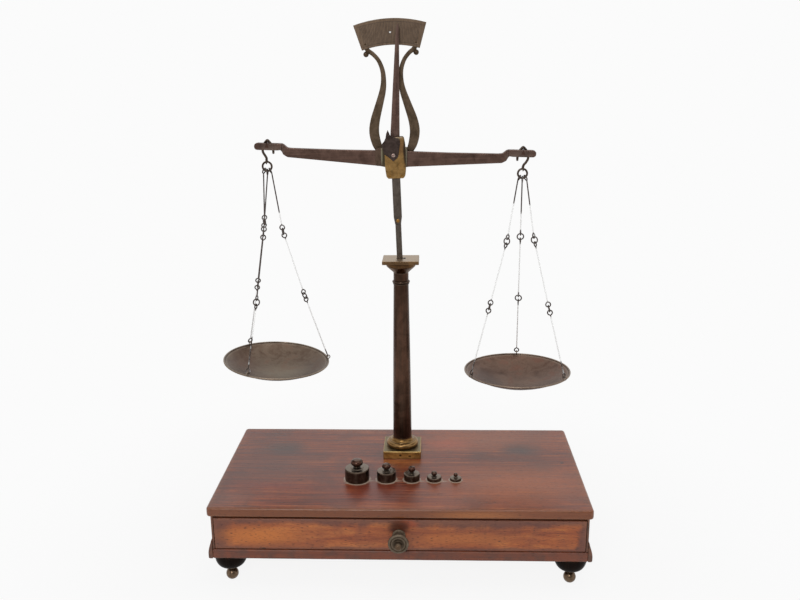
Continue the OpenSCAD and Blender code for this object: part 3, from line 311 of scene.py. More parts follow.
def tube(name, path, radii, sides, closed=False, place=Matrix()):
    # round bar along a path, with one radius for each point
    count = len(path)
    points, faces = [], []
    side = None
    for i, here in enumerate(path):
        ahead = path[(i + 1) % count] if closed or i + 1 < count else here
        behind = path[i - 1] if closed or i > 0 else here
        along = (ahead - behind).normalized()
        if side is None:
            side = along.orthogonal().normalized()
        side = (side - along * side.dot(along)).normalized()
        other = along.cross(side)
        points += [here + (side * c + other * s) * radii[i] for c, s in circle(sides)]
    for i in range(count if closed else count - 1):
        low, high = i * sides, (i + 1) % count * sides
        faces += [(low + k, low + (k + 1) % sides, high + (k + 1) % sides, high + k) for k in range(sides)]
    if not closed:
        faces += [tuple(range(sides)), tuple(range((count - 1) * sides, count * sides))]
    return faceOut(meshFrom(name, points, faces, place))


def ringPath(centre, axis, radius, count):
    axis = Vector(axis).normalized()
    one = axis.orthogonal().normalized()
    two = axis.cross(one)
    return [Vector(centre) + (one * c + two * s) * radius for c, s in circle(count)]


def joined(name, meshes):
    whole = bmesh.new()
    for mesh in meshes:
        whole.from_mesh(mesh)
    result = bpy.data.meshes.new(name)
    whole.to_mesh(result)
    whole.free()
    return result


handling = {"sharp": 0.6, "broadDent": 14, "smallDent": 4.5}     # radians, then mm


def softBlock(name, lo, hi, corner, edge, step, dent, seed):
    # planed block with eased edges that years of handling have worn a little unevenly
    bm = bmesh.new()
    bmesh.ops.create_cube(bm, size=1)
    for vert in bm.verts:
        vert.co = Vector([lo[k] + (hi[k] - lo[k]) * (vert.co[k] + 0.5) for k in range(3)])
    if corner:
        upright = [e for e in bm.edges if abs(e.verts[0].co.z - e.verts[1].co.z) > 1e-3]
        bmesh.ops.bevel(bm, geom=upright, offset=corner, segments=5, profile=0.5, affect="EDGES")
    rims = [e for e in bm.edges if e.calc_face_angle(0) > handling["sharp"]]
    bmesh.ops.bevel(bm, geom=rims, offset=edge, segments=4, profile=0.5, affect="EDGES")
    for axis in range(3):
        cuts = int((hi[axis] - lo[axis]) / step)
        normal = Vector([int(k == axis) for k in range(3)])
        for i in range(1, cuts):
            bmesh.ops.bisect_plane(bm, geom=bm.verts[:] + bm.edges[:] + bm.faces[:], plane_no=normal,
                plane_co=normal * (lo[axis] + (hi[axis] - lo[axis]) * i / cuts))
    bm.normal_update()
    moves = []
    for vert in bm.verts:
        edgeMask = min(1, (1 - max(abs(c) for c in vert.normal)) * 6)
        rough = (noise.noise(vert.co / handling["broadDent"] + Vector((seed, 0, 0))) * 0.6
            + noise.noise(vert.co / handling["smallDent"]) * 0.4)
        moves.append(vert.normal * -dent * (0.15 + edgeMask) * max(0, rough + 0.25))
    for vert, move in zip(bm.verts, moves):
        vert.co = (vert.co + move) * mm
    mesh = bpy.data.meshes.new(name)
    bm.to_mesh(mesh)
    bm.free()
    return mesh


def refined(name, node, width, segments=2, angle=30, keep=None):
    # the CAD node's own shape, with its sharp edges eased
    bm = bmesh.new()
    bm.from_mesh(frame["nodes"][node].data)
    bmesh.ops.remove_doubles(bm, verts=bm.verts[:], dist=2e-6)
    bmesh.ops.dissolve_limit(bm, angle_limit=math.radians(0.6), verts=bm.verts[:], edges=bm.edges[:])
    edges = [e for e in bm.edges if len(e.link_faces) == 2 and e.calc_face_angle(0) > math.radians(angle)]
    if keep:
        edges = [e for e in edges if keep((e.verts[0].co + e.verts[1].co) / 2 / mm)]
    bmesh.ops.bevel(bm, geom=edges, offset=width * mm, segments=segments, profile=0.5, affect="EDGES",
        clamp_overlap=False)
    bmesh.ops.triangulate(bm, faces=[f for f in bm.faces if len(f.verts) > 4])
    mesh = bpy.data.meshes.new(name)
    bm.to_mesh(mesh)
    bm.free()
    return mesh


def markEdges(mesh):
    # values for the finishes: wear and a painted highlight on outer edges, grime and painted shade in inner
    # corners, and "top" on level faces
    bm = bmesh.new()
    bm.from_mesh(mesh)
    bm.normal_update()
    wear, grime, top = (bm.verts.layers.float.new(label) for label in ("wear", "grime", "top"))
    for vert in bm.verts:
        angles = [e.calc_face_angle_signed(0) for e in vert.link_edges if len(e.link_faces) == 2]
        vert[wear] = min(1, max([0] + angles) / 0.8)
        vert[grime] = min(1, max([0] + [-a for a in angles]) / 0.8)
        vert[top] = max([0] + [face.normal.z for face in vert.link_faces])
    bm.to_mesh(mesh)
    bm.free()


def plainMesh(holder):
    # the object's mesh as its modifiers leave it, and the modifiers removed
    depsgraph = bpy.context.evaluated_depsgraph_get()
    mesh = bpy.data.meshes.new_from_object(holder.evaluated_get(depsgraph), preserve_all_data_layers=True,
        depsgraph=depsgraph)
    holder.modifiers.clear()
    return mesh


finishes = {}


def addPiece(name, mesh, finish, body, nodes=(), sharp=38, mark=True):
    # the finished mesh becomes a piece on its body, in one of the finishes below
    if mark:
        markEdges(mesh)
    mesh.shade_smooth()
    mesh.set_sharp_from_angle(angle=math.radians(sharp))
    piece = bpy.data.objects.new(name, mesh)
    bpy.context.scene.collection.objects.link(piece)
    if mark:
        # broad faces keep a flat shine beside their eased edges
        piece.modifiers.new("broadFaces", "WEIGHTED_NORMAL").keep_sharp = True
        piece.data = plainMesh(piece)
    material, slot = finishes[finish]
    piece.data.materials.clear()
    piece.data.materials.append(material)
    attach(piece, body)
    if nodes:
        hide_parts(*nodes)


# Finishes. Metal reads its edge marks from the mesh: wear with a painted highlight on outer edges, grime with
# painted shade in inner corners. Wood also knows the rim of its panel
def ovalMarks(tree, place, ripple, spots):
    # oval patches: their place and half sizes in mm, colour, how much they cover and how softly they end
    marks = []
    for spot, size, colour, part, soft in spots:
        offset = addNode(tree, "ShaderNodeVectorMath", {0: place, 1: spot}, operation="SUBTRACT")
        scaled = addNode(tree, "ShaderNodeVectorMath", {0: offset, 1: size}, operation="DIVIDE")
        far = addNode(tree, "ShaderNodeVectorMath", {0: scaled}, operation="LENGTH").outputs["Value"]
        near = addNode(tree, "ShaderNodeMath", {0: ripple, 1: 0.5, 2: far}, operation="MULTIPLY_ADD")
        marks.append((addNode(tree, "ShaderNodeMapRange", {0: near, 1: 1.2 - soft, 2: 1.35, 3: part, 4: 0},
            interpolation_type="SMOOTHSTEP"), colour))
    return marks


def layered(tree, tone, coats):
    # each coat is how much it covers and its colour, the last one on top
    for part, colour in coats:
        tone = addNode(tree, "ShaderNodeMix", {0: part, 6: tone, 7: hexColour(colour)}, data_type="RGBA")
    return tone


def rimShade(tree, look, place, cloud):
    # 1 along the panel's rim, wavering with the noise
    x, y, z = addNode(tree, "ShaderNodeSeparateXYZ", {0: place}).outputs
    (low, high), widths = look["panel"], look["rim"]
    waver = addNode(tree, "ShaderNodeMapRange", {0: cloud, 1: 0.3, 2: 0.7, 3: -1, 4: 1})
    field = None
    for axis, edge, reach in ((x, low.x, widths[0]), (x, high.x, -widths[1]), (z, low.z, widths[2]),
            (z, high.z, -widths[3])):
        bent = addNode(tree, "ShaderNodeMath", {0: waver, 1: abs(reach) * 0.5, 2: axis},
            operation="MULTIPLY_ADD")
        part = addNode(tree, "ShaderNodeMapRange", {0: bent, 1: edge + reach * 0.35, 2: edge + reach * 1.25,
            3: 0, 4: 1}, interpolation_type="SMOOTHSTEP")
        field = part if field is None else addNode(tree, "ShaderNodeMath", {0: field, 1: part},
            operation="MULTIPLY")
    return addNode(tree, "ShaderNodeMapRange", {0: field, 1: 0, 2: 1, 3: look["rimPart"], 4: 0})


poreShape = {"width": 0.5, "length": 5, "depth": 0.12}     # mm: open pores are short dark dashes


def alongGrain(axis, along, across, part=1):
    # texture scale for a pattern that is long in the grain's direction, sizes in mm
    return [part / (along if k == axis else across) for k in range(3)]


def waxedWood(name, slot, look):
    material, tree, shader = newMaterial(name)
    place = objectMm(tree)
    axis, (along, across), curl = look["axis"], look["grain"], look["curl"]
    grainPlace, stripePlace = (addNode(tree, "ShaderNodeMapping", {0: place, 1: look["shift"],
        3: alongGrain(axis, along, across, part)}) for part in (1, 0.22))
    grain = addNode(tree, "ShaderNodeTexNoise", {0: grainPlace, 2: 1, 3: 7, 4: 0.64, 8: curl})
    stripe = addNode(tree, "ShaderNodeTexNoise", {0: stripePlace, 2: 1, 3: 3, 4: 0.5, 8: curl * 1.6})
    cloud = addNode(tree, "ShaderNodeTexNoise", {0: place, 2: 1 / look["cloud"], 3: 4, 4: 0.55, 8: 0.4})
    porePlace = addNode(tree, "ShaderNodeMapping", {0: place,
        3: alongGrain(axis, poreShape["length"], poreShape["width"])})
    poreNoise = addNode(tree, "ShaderNodeTexNoise", {0: porePlace, 2: 1, 3: 1, 4: 0.4})
    pore = addNode(tree, "ShaderNodeMapRange", {0: poreNoise, 1: 0.3, 2: 0.4, 3: look["pores"], 4: 0})
    mixed = addNode(tree, "ShaderNodeMix", {0: look.get("stripes", 0.45), 2: grain, 3: stripe})
    tone = addNode(tree, "ShaderNodeValToRGB", {0: mixed}, stops=look["tones"])
    cloudy = addNode(tree, "ShaderNodeMapRange", {0: cloud, 1: 0.42, 2: 0.66, 3: 0, 4: look["aged"]})
    coats = [(cloudy, look["agedTone"])]
    if "frontFace" in look:
        # the front edge of the board sees less polish and more light
        face = look["frontFace"]
        y = addNode(tree, "ShaderNodeSeparateXYZ", {0: place}).outputs["Y"]
        part = addNode(tree, "ShaderNodeMapRange", {0: y, 1: face + 0.8, 2: face + 2.6, 3: look["frontPart"],
            4: 0})
        part = addNode(tree, "ShaderNodeMath", {0: part, 1: grain}, operation="MULTIPLY")
        coats.append((part, look["frontTone"]))
    if "panel" in look:
        coats.append((rimShade(tree, look, place, cloud), look["rimTone"]))
    # pale outer edges: wear with a painted highlight along them
    wear = addNode(tree, "ShaderNodeAttribute", attribute_name="wear").outputs["Fac"]
    edgeMask = addNode(tree, "ShaderNodeMath", {0: wear, 1: stripe}, operation="MULTIPLY")
    coats += ovalMarks(tree, place, grain, look.get("spots", ()))
    coats += [(edgeMask, look["edgeWearAndHighlightTone"]), (pore, look["poreTone"])]
    smooth, dull = look["gloss"]
    rough = addNode(tree, "ShaderNodeMapRange", {0: grain, 1: 0.3, 2: 0.7, 3: smooth, 4: dull})
    relief = addNode(tree, "ShaderNodeMath", {0: pore, 1: -0.8, 2: grain}, operation="MULTIPLY_ADD")
    bump = addNode(tree, "ShaderNodeBump", {"Strength": look["relief"], "Distance": poreShape["depth"] * mm,
        "Height": relief})
    plug(tree, shader, {"Base Color": layered(tree, tone, coats), "Roughness": rough, "Normal": bump,
        "Specular IOR Level": look.get("specular", 0.5)})
    finishes[name] = (material, slot)


def agedMetal(name, slot, look):
    material, tree, shader = newMaterial(name)
    place = objectMm(tree)
    brush = addNode(tree, "ShaderNodeMapping", {0: place, 3: [1 / size for size in look["brush"]]})
    marks = addNode(tree, "ShaderNodeTexNoise", {0: brush, 2: 1, 3: 3, 4: 0.55})
    patch = addNode(tree, "ShaderNodeTexNoise", {0: place, 2: 1 / look["patch"], 3: 6, 4: 0.62, 8: 0.6})
    grit = addNode(tree, "ShaderNodeTexNoise", {0: place, 2: 1 / look["grit"], 3: 3, 4: 0.6})
    mixed = addNode(tree, "ShaderNodeMix", {0: look["marks"], 2: patch, 3: marks})
    tone = addNode(tree, "ShaderNodeValToRGB", {0: mixed}, stops=list(zip(look["stops"], look["tones"])))
    # pale outer edges for wear with a painted highlight, dark inner corners for grime with painted shade
    wear, grime = (addNode(tree, "ShaderNodeAttribute", attribute_name=label).outputs["Fac"]
        for label in ("wear", "grime"))
    rubAndHighlight = addNode(tree, "ShaderNodeMapRange", {0: patch, 1: 0.35, 2: 0.6, 3: 0.35, 4: look["wearAndHighlightPart"]})
    rubAndHighlight = addNode(tree, "ShaderNodeMath", {0: rubAndHighlight, 1: wear}, operation="MULTIPLY", use_clamp=True)
    dirtAndShade = addNode(tree, "ShaderNodeMath", {0: grime, 1: look["grimeAndShadePart"]}, operation="MULTIPLY",
        use_clamp=True)
    speck = addNode(tree, "ShaderNodeMapRange", {0: grit, 1: 0.62, 2: 0.74, 3: 0, 4: look["specks"]})
    coats = [(rubAndHighlight, look["wearAndHighlightTone"]), (dirtAndShade, look["grimeAndShadeTone"]), (speck, look["speckTone"])]
    if "topTone" in look:
        # painted light from above: the level faces are painted paler
        top = addNode(tree, "ShaderNodeAttribute", attribute_name="top").outputs["Fac"]
        level = addNode(tree, "ShaderNodeMapRange", {0: top, 1: 0.96, 2: 1, 3: 0, 4: 0.85})
        coats.append((level, look["topTone"]))
    coats += ovalMarks(tree, place, patch, look.get("spots", ()))
    if "patina" in look:
        # the mesh says where the wire is dark, in its eyes and near them
        patina = addNode(tree, "ShaderNodeAttribute", attribute_name="patina").outputs["Fac"]
        dark = addNode(tree, "ShaderNodeMath", {0: patina, 1: patch}, operation="MULTIPLY")
        dark = addNode(tree, "ShaderNodeMapRange", {0: dark, 1: 0.12, 2: 0.4, 3: 0, 4: 1})
        coats.append((dark, look["patina"]))
    smooth, dull = look["rough"]
    rough = addNode(tree, "ShaderNodeMapRange", {0: mixed, 1: 0.3, 2: 0.7, 3: smooth, 4: dull})
    rough = addNode(tree, "ShaderNodeMath", {0: rubAndHighlight, 1: -0.12, 2: rough}, operation="MULTIPLY_ADD")
    relief = addNode(tree, "ShaderNodeMix", {0: look["marks"], 2: grit, 3: marks})
    bump = addNode(tree, "ShaderNodeBump", {"Strength": look["relief"], "Distance": look["bumpHeight"] * mm,
        "Height": relief})
    plug(tree, shader, {"Base Color": layered(tree, tone, coats), "Metallic": look["metal"],
        "Roughness": rough, "Normal": bump})
    finishes[name] = (material, slot)


weightBoxes = [boxMm("weight_%d" % (i + 1)) for i in range(5)]
weightShape = {
    # width and height of each knob and body, from the largest weight to the smallest
    "knobs": [(13.4, 7.2), (9.7, 5.8), (7.9, 6), (6.3, 4.8), (4.6, 4.2)],
    "bodies": [(26.8, 13.6), (21.2, 10.6), (17.6, 7.6), (16.1, 3.8), (12.9, 2.6)],
}


def weightMarks():
    # pale rings round the weights' feet, a painted dark reflection of each weight on the board close round
    # its foot, and pale dust between them
    marks = []
    # the second kind of ring is the painted reflection of the weights
    for grow, back, colour, part, soft in ((1, 0.6, "b4a08e", 0.9, 0), (-0.8, 0, "63301f", 0.85, 0.1)):
        for low, high in weightBoxes:
            mid, half = (low + high) / 2, (high - low) / 2
            marks.append(((mid.x, mid.y - back, boardHigh.z), (half.x + grow, half.y + grow, 6), colour, part,
                soft))
    for (a, b), (c, d) in zip(weightBoxes, weightBoxes[1:]):
        marks.append((((a.x + c.x) / 2, (a.y + b.y) / 2 - 4, boardHigh.z), ((c.x - a.x) / 2, 2.4, 6),
            "a48e7c", 0.75, 0.4))
    return marks


boardLook = {
    # waxed mahogany: long brown and red stripes, open pores, a soft gloss that greys towards the light
    "axis": 0, "grain": (60, 1.7), "curl": 0.6, "cloud": 46, "shift": (0, 0, 0),
    "tones": [(0.36, "431b10"), (0.46, "6e301b"), (0.53, "853f21"), (0.63, "a65f38")],
    "stripes": 0.3, "aged": 0.75, "agedTone": "572f24", "edgeWearAndHighlightTone": "9a6a48", "poreTone": "2a0f09",
    "pores": 0.6, "frontFace": boardLow.y, "frontPart": 2.0, "frontTone": "66300e",
    # greyer patches and painted shade under the two pans at the back, worn red beside the column, wax left
    # round the plinth
    "spots": [(Vector((x, y, boardHigh.z - drop)), size, colour, part, soft)
        for x, y, drop, size, colour, part, soft in (
            (130, -30, 0, (120, 75, 30), "a8623e", 0.7, 1.0),
            (110, 84, 0, (120, 46, 30), "a4603f", 0.75, 1.0),
            (-140, 10, 0, (80, 60, 30), "66443a", 0.55, 1.0),
            (-178, -70, 0, (40, 26, 30), "714d40", 0.5, 1.0),
            # painted shade under the left and the right pan
            (-137, 56, 0, (34, 26, 30), "4b3a35", 0.75, 0.9),
            (142, 55, 0, (30, 26, 30), "4b3b36", 0.75, 0.9),
            (58, 70, 0, (40, 22, 30), "aa5233", 0.7, 1.0),
            (-130, -40, 0, (60, 14, 30), "7a3527", 0.5, 0.9),
            (-30, -50, 0, (60, 30, 30), "74291a", 0.5, 1.0),
            (82, boardLow.y, 6, (60, 3, 6), "a4622c", 0.6, 0.8),
            (186.5, 20.4, 0, (2.4, 1.6, 3), "1f0f0a", 0.9, 0.2),
            (-108, -26, 0, (3, 1.2, 3), "241009", 0.8, 0.2),
            (columnMid.x, columnMid.y, 0, (25, 25, 8), "86705c", 0.35, 0.15))] + weightMarks(),
    "gloss": (0.24, 0.42), "relief": 0.35,
}
sideLook = dict(boardLook, axis=1, shift=(30, 5, 9), gloss=(0.34, 0.5), aged=1.0, agedTone="33231d", cloud=20,
    tones=[(0.3, "381810"), (0.44, "542718"), (0.55, "65341f"), (0.72, "78472e")], spots=(),
    edgeWearAndHighlightTone="7a5a45")
del sideLook["frontFace"]
railLook = dict(boardLook, shift=(11, 3, 20), gloss=(0.36, 0.52), aged=1.0, agedTone="3f2f2b", cloud=15,
    spots=(), frontFace=boxMm("front_rail")[0].y, frontPart=1.1, frontTone="5c2912", edgeWearAndHighlightTone="7c4f3a")
drawerLow, drawerHigh = boxMm("drawer_front")
drawerMid, knobMid = midMm("drawer_front"), midMm("drawer_knob")
drawerLook = {
    # figured mahogany: warm orange field with dark flecks, darkened along its rim
    "axis": 0, "grain": (34, 3.4), "curl": 1.4, "cloud": 30, "shift": (7, 0, 2),
    "tones": [(0.32, "6a2f16"), (0.43, "8a4420"), (0.53, "9b5227"), (0.66, "b06834")],
    "aged": 0.6, "agedTone": "703c27", "edgeWearAndHighlightTone": "98664a", "poreTone": "35160b", "pores": 0.95,
    "panel": (drawerLow, drawerHigh), "rim": (16, 10, 3.5, 8), "rimPart": 0.75, "rimTone": "52302a",
    # the bright worn field on the left, polish beside the knob with a painted shadow of the knob above it, a
    # gouge at the lower edge
    "spots": [((x, drawerLow.y, z), size, colour, part, soft) for x, z, size, colour, part, soft in (
        (boardMid.x - 146, drawerMid.z - 2, (54, 40, 15), "be6e2c", 0.75, 0.8),
        (boardMid.x + 70, drawerMid.z - 4, (70, 40, 9), "a8612e", 0.6, 0.7),
        (knobMid.x + 8, knobMid.z + 13, (15, 20, 6), "9c4014", 0.7, 0.6),
        # painted shadow of the knob on the drawer front right above it
        (knobMid.x, knobMid.z + 9, (14, 20, 10), "3c1c12", 0.85, 0.5),
        (boardMid.x - 141.8, drawerLow.z + 0.3, (2.6, 6, 1.7), "1c0d08", 0.95, 0.2))],
    "gloss": (0.34, 0.48), "relief": 0.3,
}
oakLook = {
    # planed oak, bare and dusty inside the drawer and case
    "axis": 0, "grain": (60, 2.2), "curl": 0.3, "cloud": 50, "shift": (3, 8, 1),
    "tones": [(0.3, "7c5c3a"), (0.45, "9a7750"), (0.6, "ad8b61"), (0.75, "bc9c72")],
    "aged": 0.4, "agedTone": "7d6145", "edgeWearAndHighlightTone": "b79a74", "poreTone": "4f3a24", "pores": 0.6,
    "gloss": (0.6, 0.75), "relief": 0.5,
}
ebonyLook = {
    # ebonised beech: black stain and dull polish, brown where it is rubbed
    "axis": 2, "grain": (20, 1.6), "curl": 0.2, "cloud": 18, "shift": (0, 0, 0),
    "tones": [(0.3, "0b0807"), (0.5, "120d0b"), (0.7, "1c1410")],
    "aged": 0.5, "agedTone": "1c1410", "edgeWearAndHighlightTone": "35261c", "poreTone": "050404", "pores": 0.3,
    "gloss": (0.24, 0.36), "relief": 0.1, "specular": 0.03,
}
for name, slot, look in (("boardMahogany", "mahogany", boardLook), ("sideMahogany", "mahogany", sideLook),
        ("railMahogany", "mahogany", railLook), ("drawerMahogany", "figured_mahogany", drawerLook),
        ("planedOak", "oak", oakLook), ("sideOak", "oak", dict(oakLook, axis=1)),
        ("ebonisedBeech", "ebonised_wood", ebonyLook)):
    waxedWood(name, slot, look)

